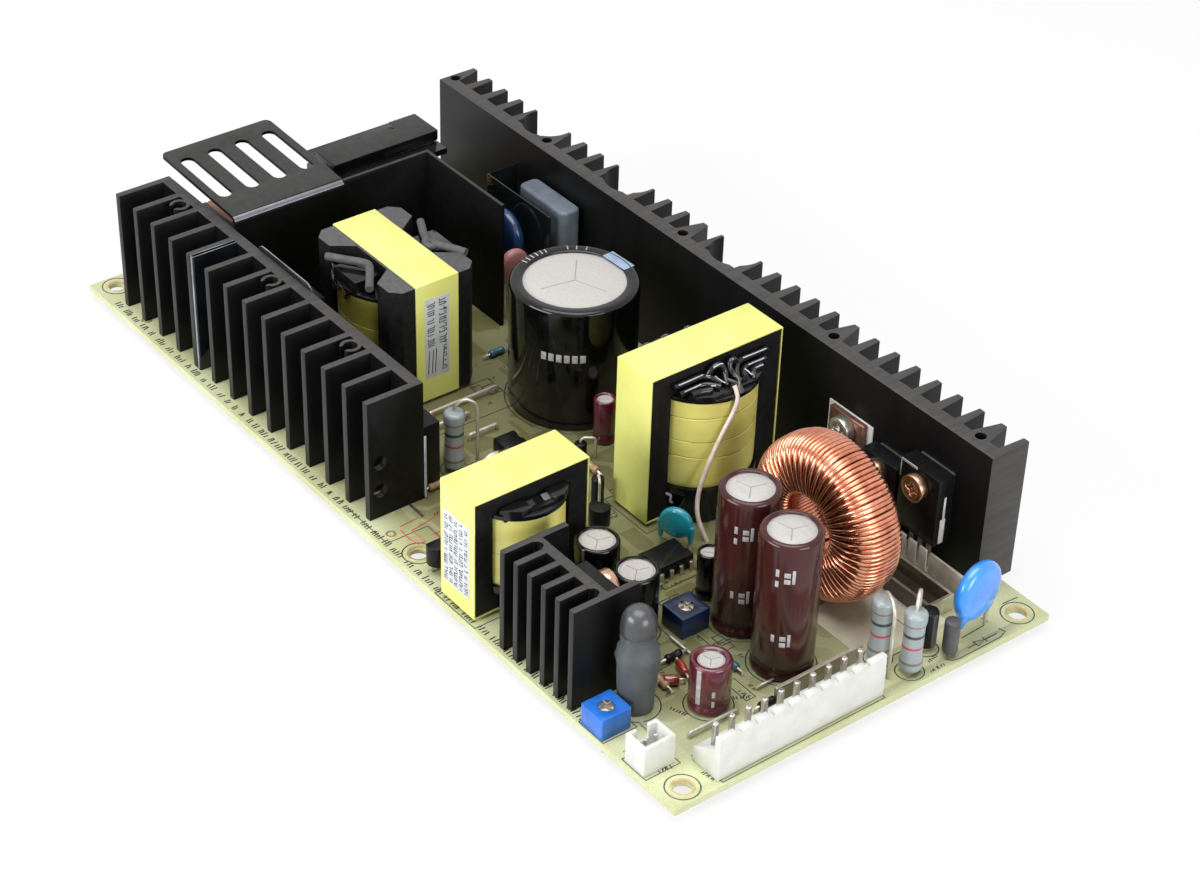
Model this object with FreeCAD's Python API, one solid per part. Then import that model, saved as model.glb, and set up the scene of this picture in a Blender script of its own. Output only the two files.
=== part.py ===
import FreeCAD, Part
import math
import os

# Open frame switching power supply on one long printed board.
# Millimetres, +Z up. The origin is the centre of the four corner mounting holes on the
# underside of the board. +X runs along the board to the output end, -Y is the side of
# the deep finned heat sink, +Y the side of the long heat sink that overhangs the board.

os.makedirs("parts", exist_ok=True)
Vec = FreeCAD.Vector
UP = Vec(0, 0, 1)
ALONG_X = Vec(1, 0, 0)
ALONG_Y = Vec(0, 1, 0)

# Board. The layout is drawn for 217 by 96: on a longer or wider board the parts that don't
# belong to an edge or to another part spread out in proportion
board_length = 217.0
board_width = 96.0
length_stretch = board_length / 217
width_stretch = board_width / 96
board_thickness = 1.6
corner_hole_radius = 2.0
corner_hole_inset_x = 4.0
corner_hole_inset_y = 5.0
side_hole_from_output = 89.5
side_hole_inset_y = 5.0
joint_drop = 2.0
joint_radius = 1.1
pin_end_radius = 0.5

# Heat sinks
left_sink_length = 101.2
left_sink_from_input = 11.7
left_sink_inner_y = 31.4
left_sink_depth = 13.7
left_sink_base = 2.6
left_sink_height = 29.3
left_sink_fins = 14
left_fin_thickness = 1.6
channel_radius = 2.3
channel_bore_radius = 1.45
channel_slot = 1.7
end_fin_hole_radius = 1.7

film_fin = 4
film_clear = 0.1
film_width = 1.2
film_thickness = 0.25
film_height = 29.6
back_sheet_from_end = 37.8
back_sheet_length = 22.0
back_sheet_rise = 1.4
back_sheet_thickness = 0.25

long_sink_from_input = 14.0
long_sink_from_output = 14.5
long_sink_inner_y = 41.5
long_sink_base = 3.5
long_sink_depth = 10.0
long_sink_height = 32.5
long_sink_pitch = 6.233
long_sink_gaps = (5, 10, 16)
long_fin_root = 2.4
long_fin_tip = 1.5
boss_root = 5.0
boss_bore_radius = 1.2

small_sink_from_output = 56.0
small_sink_length = 23.4
small_sink_edge_gap = 1.0
small_sink_fin_depth = 6.8
small_sink_base = 2.3
small_sink_wing = 6.4
small_sink_height = 24.0
small_sink_fins = 6
small_fin_thickness = 1.5

# Folded insulating screen round the input stage
screen_thickness = 0.8
screen_from_input = 39.2
screen_height = 32.0
screen_corner_y = 20.6
screen_return_length = 30.0
screen_bend_radius = 1.0
flap_length = 30.5
flap_width = 28.5
flap_rise = 2.0
flap_slot_length = 19.0
flap_slot_width = 3.4
flap_slots = 4
screen_left_clear = 0.3

# Wound parts: ferrite core sizes are those of the standard families
boost_from_input = 69.0
boost_y = -8.6
boost_core_width = 31.6
boost_core_depth = 21.8
boost_core_height = 29.6
boost_waist = 12.0
boost_post_radius = 6.7
boost_window_radius = 13.6
boost_yoke = 4.6
boost_arm_lift = 3.4
boost_arm_length = 9.4
boost_arm_width = 1.6
boost_arm_thick = 2.0
main_from_input = 142.3
main_y = 17.0
main_core_width = 33.8
main_core_depth = 10.9
main_core_height = 35.2
main_post_radius = 5.4
main_window_radius = 12.9
main_yoke = 5.4
control_from_output = 70.2
control_y = -33.0
control_core_width = 27.2
control_core_depth = 11.0
control_core_height = 27.6
control_post_radius = 4.9
control_window_radius = 10.7
control_yoke = 4.0
tape_thickness = 0.3
tape_overhang = 0.2
core_lift = 1.2
bobbin_wall = 0.9
main_bobbin_seat = 1.7
control_bobbin_seat = 1.6
comb_rise = 1.5
bobbin_clear = 0.15
winding_margin = 0.5

# Output choke on a ring core, axis across the board
ring_from_output = 32.7
ring_y = 15.8
ring_outer_radius = 18.0
ring_inner_radius = 8.2
ring_width = 11.6
ring_wire = 1.1
ring_turns = 62
ring_lift = 0.8

# Electrolytic capacitors, sleeve outside diameter and height
bulk_from_input = 100.4
red_can_gap = 1.0
bulk_y = 16.6
bulk_diameter = 28.4
bulk_height = 30.2
output_can_diameter = 12.6
output_can_height = 33.0
control_can_diameter = 9.2
control_can_height = 15.5
small_can_diameter = 4.9
small_can_height = 11.0
maroon_can_diameter = 8.3
maroon_can_height = 11.5
sleeve_thickness = 0.25
groove_depth = 0.45

# Headers
header_pitch = 3.96
header_ways = 10
header_edge_gap = 1.2
header_centre_y = -16.3
header_depth = 7.6
header_base_height = 3.4
header_wall = 1.5
header_height = 10.2
header_end = 1.7
header_pin = 1.1
signal_header_width = 7.4
signal_header_depth = 5.8
signal_header_height = 7.0
signal_header_wall = 0.8
signal_pitch = 2.5
signal_pin = 0.64

# Trimmers
trimmer_width = 6.6
trimmer_length = 7.0
trimmer_height = 5.0
rotor_radius = 1.6
rotor_height = 0.75
rotor_clear = 0.08
rotor_recess = 0.8

# Power devices
package_width = 15.9
package_height = 20.3
low_package_height = 16.0
package_thick = 5.0
small_package_width = 10.2
small_package_height = 15.6
small_package_thick = 4.5
small_body_height = 9.2
small_tab_thick = 1.3
small_hole_drop = 3.0
long_package_width = 11.2
long_package_height = 16.2
long_hole_drop = 4.0
device_gap = 1.35
device_seat = 0.3
body_hole_drop = 5.6
long_device_from_output = 28.5
pad_margin_x = 1.6
pad_low = 2.5
pad_height = 18.3
left_device_first = 15.2
left_device_second = 48.2
left_device_last = 9.5
small_device_shift = 2.8
small_device_lift = 5.7
pad_thickness = 0.3
leg_thick = 0.6
leg_width = 1.1
screw_head_radius = 3.0
screw_head_height = 2.2
screw_radius = 1.5

# Small parts
lead_radius = 0.4
resistor_radius = 2.35
resistor_length = 14.0
resistor_loop = 3.0
resistor_bend = 2.6
resistor_lift = 1.0
wrap_radius = 3.4
wrap_shoulder_radius = 4.3
wrap_foot_radius = 3.9
wrap_height = 24.3
wrap_from_left_edge = 12.0
wrap_gap = 1.4
transistor_radius = 2.3
transistor_height = 4.6
transistor_lift = 2.0

output_x = board_length / 2
input_x = -board_length / 2
left_y = -board_width / 2
right_y = board_width / 2
board_top = board_thickness

joint_places = []


def from_input(distance):
    return input_x + distance * length_stretch


def from_output(distance):
    return output_x - distance * length_stretch


def across(y):
    return y * width_stretch


def box(x0, x1, y0, y1, z0, z1):
    return Part.makeBox(x1 - x0, y1 - y0, z1 - z0, Vec(x0, y0, z0))


def cylinder(x, y, z, radius, height, axis=UP):
    return Part.makeCylinder(radius, height, Vec(x, y, z), axis)


def prism(points, z, height):
    corners = [Vec(x, y, z) for x, y in points]
    face = Part.Face(Part.makePolygon(corners + corners[:1]))
    return face.extrude(Vec(0, 0, height))


def turned(profile, x, y, z):
    corners = [Vec(radius, 0, height) for radius, height in profile]
    face = Part.Face(Part.makePolygon(corners + corners[:1]))
    solid = face.revolve(Vec(0, 0, 0), UP, 360)
    solid.translate(Vec(x, y, z))
    return solid


def joined(solids):
    whole = solids[0].multiFuse(solids[1:]) if len(solids) > 1 else solids[0]
    return whole.removeSplitter()


def rounded(solid, radius, direction):
    edges = []
    for edge in solid.Edges:
        tangent = edge.tangentAt(edge.FirstParameter)
        if abs(tangent.dot(direction)) > 0.999:
            edges.append(edge)
    return solid.makeFillet(radius, edges)


def bent_wire(points, radius, bend):
    corners = [Vec(*point) for point in points]
    edges = []
    start = corners[0]
    for before, corner, after in zip(corners, corners[1:], corners[2:]):
        arrive = (corner - before).normalize()
        leave = (after - corner).normalize()
        turn = math.acos(max(-1.0, min(1.0, arrive.dot(leave))))
        trim = bend * math.tan(turn / 2)
        first = corner - arrive * trim
        last = corner + leave * trim
        middle_way = (leave - arrive).normalize()
        centre = corner + middle_way * (bend / math.cos(turn / 2))
        middle = centre - middle_way * bend
        if (first - start).Length > 0.001:
            edges.append(Part.LineSegment(start, first).toShape())
        edges.append(Part.Arc(first, middle, last).toShape())
        start = last
    edges.append(Part.LineSegment(start, corners[-1]).toShape())
    section = Part.Wire(Part.Circle(corners[0], corners[1] - corners[0], radius).toShape())
    return Part.Wire(edges).makePipeShell([section], True, False)


def solder(*places):
    for x, y in places:
        if all(math.hypot(x - px, y - py) > 2 * joint_radius for px, py in joint_places):
            joint_places.append((x, y))


def write(node, solids):
    if not isinstance(solids, list):
        solids = [solids]
    shape = solids[0] if len(solids) == 1 else Part.makeCompound(solids)
    shape.exportStep("parts/" + node + ".step")
    print(node, len(shape.Solids), shape.isValid(), round(shape.Volume, 1))


# Printed board with its mounting holes

def mounting_holes():
    hole_x = board_length / 2 - corner_hole_inset_x
    hole_y = board_width / 2 - corner_hole_inset_y
    corners = [(sx * hole_x, sy * hole_y) for sx in (-1, 1) for sy in (-1, 1)]
    return corners + [(output_x - side_hole_from_output, left_y + side_hole_inset_y)]


def circuit_board():
    board = box(input_x, output_x, left_y, right_y, 0, board_top)
    for x, y in mounting_holes():
        board = board.cut(cylinder(x, y, -1, corner_hole_radius, board_thickness + 2))
    return board


def solder_joints(low_x, high_x):
    joints = []
    for x, y in joint_places:
        if low_x <= x < high_x:
            cone = [(0, 0), (joint_radius, 0), (pin_end_radius, -0.7 * joint_drop),
                    (pin_end_radius, -joint_drop), (0, -joint_drop)]
            around = [60 * step for step in range(6)]
            rings = []
            for radius, z in cone[1:4]:
                ring = [Vec(x + radius * math.cos(math.radians(a)),
                            y + radius * math.sin(math.radians(a)), z) for a in around]
                rings.append(Part.makePolygon(ring + ring[:1]))
            joints.append(Part.makeLoft(rings, True, True))
    return joints


# Left heat sink: base plate with deep fins and three slotted screw channels

left_inner = across(-left_sink_inner_y)
left_base_outer = left_inner - left_sink_base
left_fin_tip_y = left_inner - left_sink_depth
left_sink_start = from_input(left_sink_from_input)
left_sink_end = left_sink_start + left_sink_length
left_fin_pitch = (left_sink_length - left_fin_thickness) / (left_sink_fins - 1)
left_device_face = left_inner + back_sheet_thickness


def slotted_channel(x, y):
    ring = cylinder(x, y, board_top, channel_radius, left_sink_height)
    bore = cylinder(x, y, board_top - 1, channel_bore_radius, left_sink_height + 2)
    slot = box(x - channel_slot / 2, x + channel_slot / 2, y - channel_radius - 1, y,
               board_top - 1, board_top + left_sink_height + 1)
    return ring, bore.fuse(slot)


def left_heat_sink():
    outline = [(left_sink_start, left_inner), (left_sink_start, left_fin_tip_y)]
    for index in range(left_sink_fins):
        fin_x = left_sink_start + index * left_fin_pitch
        if index > 0:
            outline += [(fin_x, left_base_outer), (fin_x, left_fin_tip_y)]
        outline.append((fin_x + left_fin_thickness, left_fin_tip_y))
        if index < left_sink_fins - 1:
            outline.append((fin_x + left_fin_thickness, left_base_outer))
    outline.append((left_sink_end, left_inner))
    sink = prism(outline, board_top, left_sink_height)
    for index in (1, 6, 10):
        x = left_sink_start + left_fin_thickness / 2 + (index + 0.5) * left_fin_pitch
        ring, hollow = slotted_channel(x, left_base_outer - 0.8 * channel_radius)
        sink = sink.fuse(ring).cut(hollow)
    for height in (8.3, 15.3):
        hole = cylinder(left_sink_end - left_fin_thickness - 1, left_fin_tip_y + 2.8,
                        board_top + height - board_thickness, end_fin_hole_radius,
                        left_fin_thickness + 2, ALONG_X)
        sink = sink.cut(hole)
    return sink.removeSplitter()


def fin_film():
    x0 = left_sink_start + film_fin * left_fin_pitch + left_fin_thickness + film_clear
    y0 = left_fin_tip_y - film_clear
    film = box(x0, x0 + film_width, y0, left_base_outer, board_top, board_top + film_height)
    film = film.makeFillet(0.4, [edge for edge in film.Edges
                                 if abs(edge.tangentAt(edge.FirstParameter).z) > 0.99
                                 and edge.CenterOfMass.y < y0 + 0.1])
    inner = box(x0 + film_thickness, x0 + film_width - film_thickness, y0 + film_thickness,
                left_base_outer + 1, board_top - 1, board_top + film_height + 1)
    return film.cut(inner)


def back_sheet():
    start = left_sink_start + back_sheet_from_end
    sheet = box(start, start + back_sheet_length, left_inner, left_device_face,
                board_top + 1.0, board_top + left_sink_height + back_sheet_rise)
    top_corners = [edge for edge in sheet.Edges
                   if abs(edge.tangentAt(edge.FirstParameter).y) > 0.99
                   and edge.CenterOfMass.z > board_top + left_sink_height]
    return sheet.makeFillet(2.5, top_corners)


# Long heat sink: plain inner face, tapered fins in groups, bosses bored for screws

long_sink_start = input_x + long_sink_from_input
long_face = across(long_sink_inner_y)
long_base_outer = long_face + long_sink_base
long_fin_tip_y = long_face + long_sink_depth
long_sink_stations = int((board_length - long_sink_from_input - long_sink_from_output)
                         / long_sink_pitch) + 1
long_sink_bosses = (0, 6, 14, 22, long_sink_stations - 2)
long_sink_end = long_sink_start + (long_sink_stations - 1) * long_sink_pitch + long_fin_tip


def long_heat_sink():
    outline = [(long_sink_end, long_face), (long_sink_start, long_face)]
    bores = []
    for index in range(long_sink_stations):
        if index in long_sink_gaps:
            continue
        tip = long_sink_start + index * long_sink_pitch
        root = boss_root if index in long_sink_bosses else long_fin_root
        left_root = max(tip - (root - long_fin_tip) / 2, long_sink_start)
        right_root = min(tip + (root + long_fin_tip) / 2, long_sink_end)
        outline += [(left_root, long_base_outer), (tip, long_fin_tip_y),
                    (tip + long_fin_tip, long_fin_tip_y), (right_root, long_base_outer)]
        if index in long_sink_bosses:
            bores.append((left_root + right_root) / 2)
    outline = [point for index, point in enumerate(outline) if point not in outline[:index]]
    sink = prism(outline, board_top, long_sink_height)
    for x in bores:
        sink = sink.cut(cylinder(x, long_base_outer, board_top - 1, boss_bore_radius,
                                 long_sink_height + 2))
    for index in long_sink_gaps:
        x = long_sink_start + index * long_sink_pitch + long_fin_tip / 2
        scoop = long_sink_pitch
        sink = sink.cut(cylinder(x, long_base_outer + scoop - 1.0, board_top - 1, scoop,
                                 long_sink_height + 2))
    return sink


# Small heat sink: six fins outwards and two wings inwards round its device

small_sink_start = from_output(small_sink_from_output)
small_sink_end = small_sink_start + small_sink_length
small_fin_tip_y = left_y + small_sink_edge_gap
small_base_outer = small_fin_tip_y + small_sink_fin_depth
small_base_inner = small_base_outer + small_sink_base
small_wing_y = small_base_inner + small_sink_wing
small_fin_pitch = (small_sink_length - small_fin_thickness) / (small_sink_fins - 1)


def small_heat_sink():
    outline = [(small_sink_start, small_wing_y), (small_sink_start, small_fin_tip_y)]
    for index in range(small_sink_fins):
        fin_x = small_sink_start + index * small_fin_pitch
        if index > 0:
            outline += [(fin_x, small_base_outer), (fin_x, small_fin_tip_y)]
        outline.append((fin_x + small_fin_thickness, small_fin_tip_y))
        if index < small_sink_fins - 1:
            outline.append((fin_x + small_fin_thickness, small_base_outer))
    outline += [(small_sink_end, small_wing_y), (small_sink_end - small_fin_thickness, small_wing_y),
                (small_sink_end - small_fin_thickness, small_base_inner),
                (small_sink_start + small_fin_thickness, small_base_inner),
                (small_sink_start + small_fin_thickness, small_wing_y)]
    sink = prism(outline, board_top, small_sink_height)
    for index in (0, small_sink_fins - 2):
        x = small_sink_start + small_fin_thickness / 2 + (index + 0.5) * small_fin_pitch
        bore = cylinder(x, small_base_outer, board_top - 1, 1.1, small_sink_height + 2)
        sink = sink.cut(bore)
    return sink


# Folded screen: wall across the board, return along it and a slotted flap over the input

screen_x = from_input(screen_from_input)
screen_turn_y = across(screen_corner_y)
screen_left_y = left_inner + screen_left_clear


def insulating_screen():
    inner = screen_x + screen_thickness
    straight = screen_height - screen_bend_radius - screen_thickness
    wall = box(screen_x, inner, screen_left_y, screen_turn_y, board_top, board_top + straight)
    crown = box(screen_x, inner, screen_left_y + flap_width, screen_turn_y,
                board_top + straight, board_top + screen_height)
    back = box(screen_x, screen_x + screen_return_length, screen_turn_y - screen_thickness,
               screen_turn_y, board_top, board_top + screen_height)
    bend_z = board_top + straight
    bend_x = screen_x - screen_bend_radius
    section = [(screen_bend_radius, 0), (screen_bend_radius + screen_thickness, 0)]
    corners = [Vec(bend_x + r, screen_left_y, bend_z) for r, _ in section]
    strip = Part.Face(Part.makePolygon([corners[0], corners[1],
                                        corners[1] + Vec(0, flap_width, 0),
                                        corners[0] + Vec(0, flap_width, 0), corners[0]]))
    bend = strip.revolve(Vec(bend_x, 0, bend_z), Vec(0, -1, 0), 90 - flap_rise)
    flap = box(-flap_length, 0, 0, flap_width, 0, screen_thickness)
    flap = rounded_flap(flap)
    flap.rotate(Vec(0, 0, 0), ALONG_Y, flap_rise)
    lean = math.radians(flap_rise)
    flap.translate(Vec(bend_x + screen_bend_radius * math.sin(lean), screen_left_y,
                       bend_z + screen_bend_radius * math.cos(lean)))
    return joined([wall, crown, back, bend, flap])


def rounded_flap(flap):
    ends = [edge for edge in flap.Edges
            if abs(edge.tangentAt(edge.FirstParameter).z) > 0.99 and edge.CenterOfMass.x < -1]
    flap = flap.makeFillet(1.5, ends)
    spacing = flap_width / flap_slots
    for index in range(flap_slots):
        y = (index + 0.5) * spacing
        x0 = -flap_length + 4.5
        radius = flap_slot_width / 2
        slot = box(x0 + radius, x0 + flap_slot_length - radius, y - radius, y + radius, -1, 3)
        slot = slot.fuse(cylinder(x0 + radius, y, -1, radius, 4))
        slot = slot.fuse(cylinder(x0 + flap_slot_length - radius, y, -1, radius, 4))
        flap = flap.cut(slot)
    return flap


# Wound parts with an upright round winding between two ferrite halves

def belt(x, y, z, depth, width, height):
    outer = box(x - depth / 2, x + depth / 2, y - width / 2 - tape_thickness,
                y + width / 2 + tape_thickness, z - tape_thickness, z + height + tape_thickness)
    inner = box(x - depth, x + depth, y - width / 2, y + width / 2, z, z + height)
    return outer.cut(inner)


def barrel(x, y, z, inner, outer, height, bulge):
    corners = [Vec(inner, 0, 0), Vec(outer - bulge, 0, 0), Vec(outer - bulge, 0, height),
               Vec(inner, 0, height)]
    side = Part.Arc(corners[1], Vec(outer, 0, height / 2), corners[2]).toShape()
    lines = [Part.LineSegment(corners[2], corners[3]).toShape(),
             Part.LineSegment(corners[3], corners[0]).toShape(),
             Part.LineSegment(corners[0], corners[1]).toShape()]
    solid = Part.Face(Part.Wire([side] + lines)).revolve(Vec(0, 0, 0), UP, 360)
    solid.translate(Vec(x, y, z))
    return solid


def spool(x, y, low, high, seat, post, window, rails, rail_half, guides):
    tube_radius = post + bobbin_clear + bobbin_wall
    flange = window - bobbin_clear
    guide_top = high + comb_rise
    parts = [cylinder(x, y, low, tube_radius, high - low),
             cylinder(x, y, low, flange, seat),
             cylinder(x, y, high - bobbin_wall, flange, bobbin_wall)]
    for side in (-1, 1):
        near, far = sorted((x + side * rails, x + side * (flange - 1.2)))
        parts.append(box(near, far, y - rail_half, y + rail_half, board_top, low + seat))
        parts.append(box(near, far, y - rail_half, y + rail_half, high - bobbin_wall, guide_top))
    body = joined(parts)
    body = body.cut(cylinder(x, y, low - 1, post + bobbin_clear, high - low + 2))
    groove = 2 * rail_half / (2 * guides + 1)
    for index in range(guides):
        start = y - rail_half + (2 * index + 1) * groove
        body = body.cut(box(x - window, x + window, start, start + groove,
                            high + 0.8, guide_top + 1))
    return body


def upright_transformer(x, y, width, depth, height, seat, post, window, yoke, guides):
    base = board_top + core_lift
    low = base + yoke
    high = base + height - yoke
    core = box(x - depth / 2, x + depth / 2, y - width / 2, y + width / 2, base, base + height)
    core = core.cut(cylinder(x, y, low, window, high - low))
    core = core.fuse(cylinder(x, y, low, post, high - low)).removeSplitter()
    rails = depth / 2 + tape_overhang + 0.2
    rail_half = 0.74 * window
    bobbin = spool(x, y, low + bobbin_clear, high - bobbin_clear, seat, post, window, rails,
                   rail_half, guides)
    inner = post + bobbin_clear + bobbin_wall + 0.1
    outer = window - winding_margin
    wound_low = low + bobbin_clear + seat
    wound_high = high - bobbin_clear - bobbin_wall
    winding = barrel(x, y, wound_low, inner, outer, wound_high - wound_low, 0.35)
    tape = belt(x, y, base, depth + 2 * tape_overhang, width, height)
    for side in (-1, 1):
        for index in range(5):
            solder((x + side * (window - 2.0), y + (index - 2) * rail_half * 0.42))
    return core, bobbin, winding, tape


def waisted_outline(x, y):
    half_width = boost_core_width / 2
    half_depth = boost_core_depth / 2
    waist = boost_waist / 2
    shoulder = half_width - 6.5
    inner = shoulder - 3.5
    bevel = 2.2
    quarter = [(half_width, half_depth - bevel), (half_width - bevel, half_depth),
               (shoulder, half_depth), (inner, waist)]
    outline = [(x + px, y + py) for px, py in quarter]
    outline += [(x - px, y + py) for px, py in reversed(quarter)]
    outline += [(x - px, y - py) for px, py in quarter]
    outline += [(x + px, y - py) for px, py in reversed(quarter)]
    return outline


def boost_choke():
    x = from_input(boost_from_input)
    y = across(boost_y)
    base = board_top + core_lift
    low = base + boost_yoke
    high = base + boost_core_height - boost_yoke
    core = prism(waisted_outline(x, y), base, boost_core_height)
    core = core.cut(cylinder(x, y, low, boost_window_radius, high - low))
    core = core.fuse(cylinder(x, y, low, boost_post_radius, high - low)).removeSplitter()
    tube = boost_post_radius + bobbin_clear + bobbin_wall
    flange = boost_window_radius - bobbin_clear
    parts = [cylinder(x, y, low + bobbin_clear, tube, high - low - 2 * bobbin_clear),
             cylinder(x, y, low + bobbin_clear, flange, bobbin_wall),
             cylinder(x, y, high - bobbin_clear - bobbin_wall, flange, bobbin_wall)]
    for side in (-1, 1):
        edge = y + side * (boost_waist / 2 + 0.6)
        tip = y + side * (flange - 0.3)
        near, far = sorted((edge + side * 4.6, tip))
        parts.append(box(x - 8.5, x + 8.5, near, far, board_top, low + bobbin_wall))
        near, far = sorted((edge, tip))
        parts.append(box(x - 4.2, x + 4.2, near, far, high - bobbin_clear - bobbin_wall,
                         high + boost_arm_lift + 0.2))
        horn = box(-boost_arm_width / 2, boost_arm_length, -boost_arm_width / 2,
                   boost_arm_width / 2, 0, boost_arm_thick)
        for turn in (28 * side, 180 - 24 * side):
            arm = horn.copy()
            arm.rotate(Vec(0, 0, 0), UP, turn)
            arm.translate(Vec(x + 1.9, edge + side * 1.8, high + boost_arm_lift))
            parts.append(arm)
    bobbin = joined(parts).cut(core)
    bobbin = bobbin.cut(cylinder(x, y, low - 1, boost_post_radius + bobbin_clear, high - low + 2))
    wound_low = low + bobbin_clear + bobbin_wall
    wound_high = high - bobbin_clear - bobbin_wall
    winding = barrel(x, y, wound_low, tube + 0.1, flange - winding_margin,
                     wound_high - wound_low, 0.3)
    band = belt(0, 0, base, boost_waist - 0.9, boost_core_width, boost_core_height)
    band.rotate(Vec(0, 0, 0), UP, 90)
    band.translate(Vec(x, y, 0))
    for side in (-1, 1):
        for index in range(5):
            solder((x + (index - 2) * 3.8, y + side * (flange - 1.6)))
    return core, bobbin, winding, band


# Fly lead of the main transformer, from the winding down to the board

def fly_lead():
    front = from_input(main_from_input) + main_window_radius
    y = across(main_y)
    top = board_top + core_lift + main_core_height
    points = [(front + 0.1, y + 0.4, top - 7.2), (front + 1.6, y - 1.0, top - 10.5),
              (front + 1.2, y - 4.6, top - 16.0), (front + 1.6, y - 8.4, top - 23.0),
              (front + 3.4, y - 9.4, top - 30.6), (front + 3.6, y - 9.6, board_top + 1.2),
              (front + 3.6, y - 9.6, board_top)]
    solder((front + 3.6, y - 9.6))
    return bent_wire(points, 0.5, 1.4)


# Common mode line filter

filter_x = from_input(25.5)
filter_y = across(15.4)
filter_length = 28.8
filter_top = 30.0
filter_lid = 2.6
filter_foot = 0.8
filter_flange = 1.6
filter_pitch = (filter_top - filter_lid - filter_foot - filter_flange - 0.4) / 2


def line_filter():
    y0 = filter_y - filter_length / 2
    y1 = filter_y + filter_length / 2
    top = board_top + filter_top
    lid = box(filter_x - 5.0, filter_x + 4.6, y0, y1, top - filter_lid, top)
    lid = lid.cut(box(filter_x - 6, filter_x - 3.4, y0 - 1, y0 + 9.5, top - 1.2, top + 1))
    lid = lid.cut(box(filter_x - 6, filter_x - 1.8, y0 + 9.5, y1 - 7.5, top - 1.2, top + 1))
    stem = box(filter_x - 4.2, filter_x + 4.2, y0 + 1.5, y1 - 1.5, board_top, top - filter_lid)
    flanges = []
    drums = []
    for level in range(3):
        z = board_top + filter_foot + level * filter_pitch
        flanges.append(box(filter_x - 9.2, filter_x + 8.4, y0, y1, z, z + filter_flange))
        if level < 2:
            low = z + filter_flange + 0.1
            tall = filter_pitch - filter_flange - 0.2
            drum = box(filter_x - 8.0, filter_x + 7.2, y0 + 1.0, y1 - 1.0, low, low + tall)
            drum = rounded(drum, 3.0, UP)
            hole = box(filter_x - 4.3, filter_x + 4.3, y0 + 1.4, y1 - 1.4, z - 1, low + tall + 1)
            drums.append(drum.cut(hole))
    bobbin = joined([lid, stem] + flanges)
    for side_x in (-6.5, 5.5):
        for y in (y0 + 3, y1 - 3):
            solder((filter_x + side_x, y))
    return bobbin, drums


# Electrolytic capacitors: can with a rolled top and a shrunk sleeve over its rim

def electrolytic(x, y, diameter, height, disc_share, grooved):
    radius = diameter / 2
    edge = min(1.3, 0.18 * radius)
    foot = board_top + 0.1
    outer = [(0, 0), (radius, 0)]
    if grooved:
        outer += [(radius, 1.6), (radius - groove_depth, 2.2), (radius, 2.8)]
    outer += [(radius, height - edge), (radius - 0.3 * edge, height - 0.3 * edge),
              (radius - edge, height), (0, height)]
    body = turned(outer, x, y, foot)
    inner = radius - sleeve_thickness
    neck = inner - (groove_depth if grooved else 0)
    core = [(0, 0), (neck, 0), (neck, 3.2), (inner, 3.2), (inner, height - edge - 0.2),
            (inner - edge, height - sleeve_thickness), (0, height - sleeve_thickness)]
    if not grooved:
        core = [core[0], (inner, 0)] + core[4:]
    can = turned(core, x, y, foot)
    window = cylinder(x, y, foot + height - sleeve_thickness, disc_share * radius, 2)
    sleeve = body.cut(can).cut(window)
    pitch = min(5.0, 0.2 * diameter)
    solder((x - pitch / 2, y), (x + pitch / 2, y))
    return can, sleeve


# Ring core choke: each turn of the winding is a flat loop swept a little round the axis

def output_choke():
    x = from_output(ring_from_output)
    z = board_top + ring_lift + ring_outer_radius
    half = ring_width / 2
    inner = ring_inner_radius + ring_wire
    outer = ring_outer_radius - ring_wire
    core_half = half - ring_wire
    section = [Vec(inner, -core_half, 0), Vec(outer, -core_half, 0), Vec(outer, core_half, 0),
               Vec(inner, core_half, 0)]
    core = Part.Face(Part.makePolygon(section + section[:1])).revolve(Vec(0, 0, 0), ALONG_Y, 360)
    soft = 1.9
    loop = [Vec(ring_inner_radius, -half + soft, 0), Vec(ring_inner_radius + soft, -half, 0),
            Vec(ring_outer_radius - soft, -half, 0), Vec(ring_outer_radius, -half + soft, 0),
            Vec(ring_outer_radius, half - soft, 0), Vec(ring_outer_radius - soft, half, 0),
            Vec(ring_inner_radius + soft, half, 0), Vec(ring_inner_radius, half - soft, 0)]
    gap = 0.04
    hole = [Vec(inner - gap, -core_half - gap, 0), Vec(outer + gap, -core_half - gap, 0),
            Vec(outer + gap, core_half + gap, 0), Vec(inner - gap, core_half + gap, 0)]
    face = Part.Face(Part.makePolygon(loop + loop[:1]))
    face = face.cut(Part.Face(Part.makePolygon(hole + hole[:1])))
    step = 360 / ring_turns
    turn = face.Faces[0].revolve(Vec(0, 0, 0), ALONG_Y, 0.9 * step)
    turns = []
    for index in range(ring_turns):
        copy = turn.copy()
        copy.rotate(Vec(0, 0, 0), ALONG_Y, index * step)
        turns.append(copy)
    for solid in turns + [core]:
        solid.translate(Vec(x, across(ring_y), z))
    return core, turns


# Headers

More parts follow.
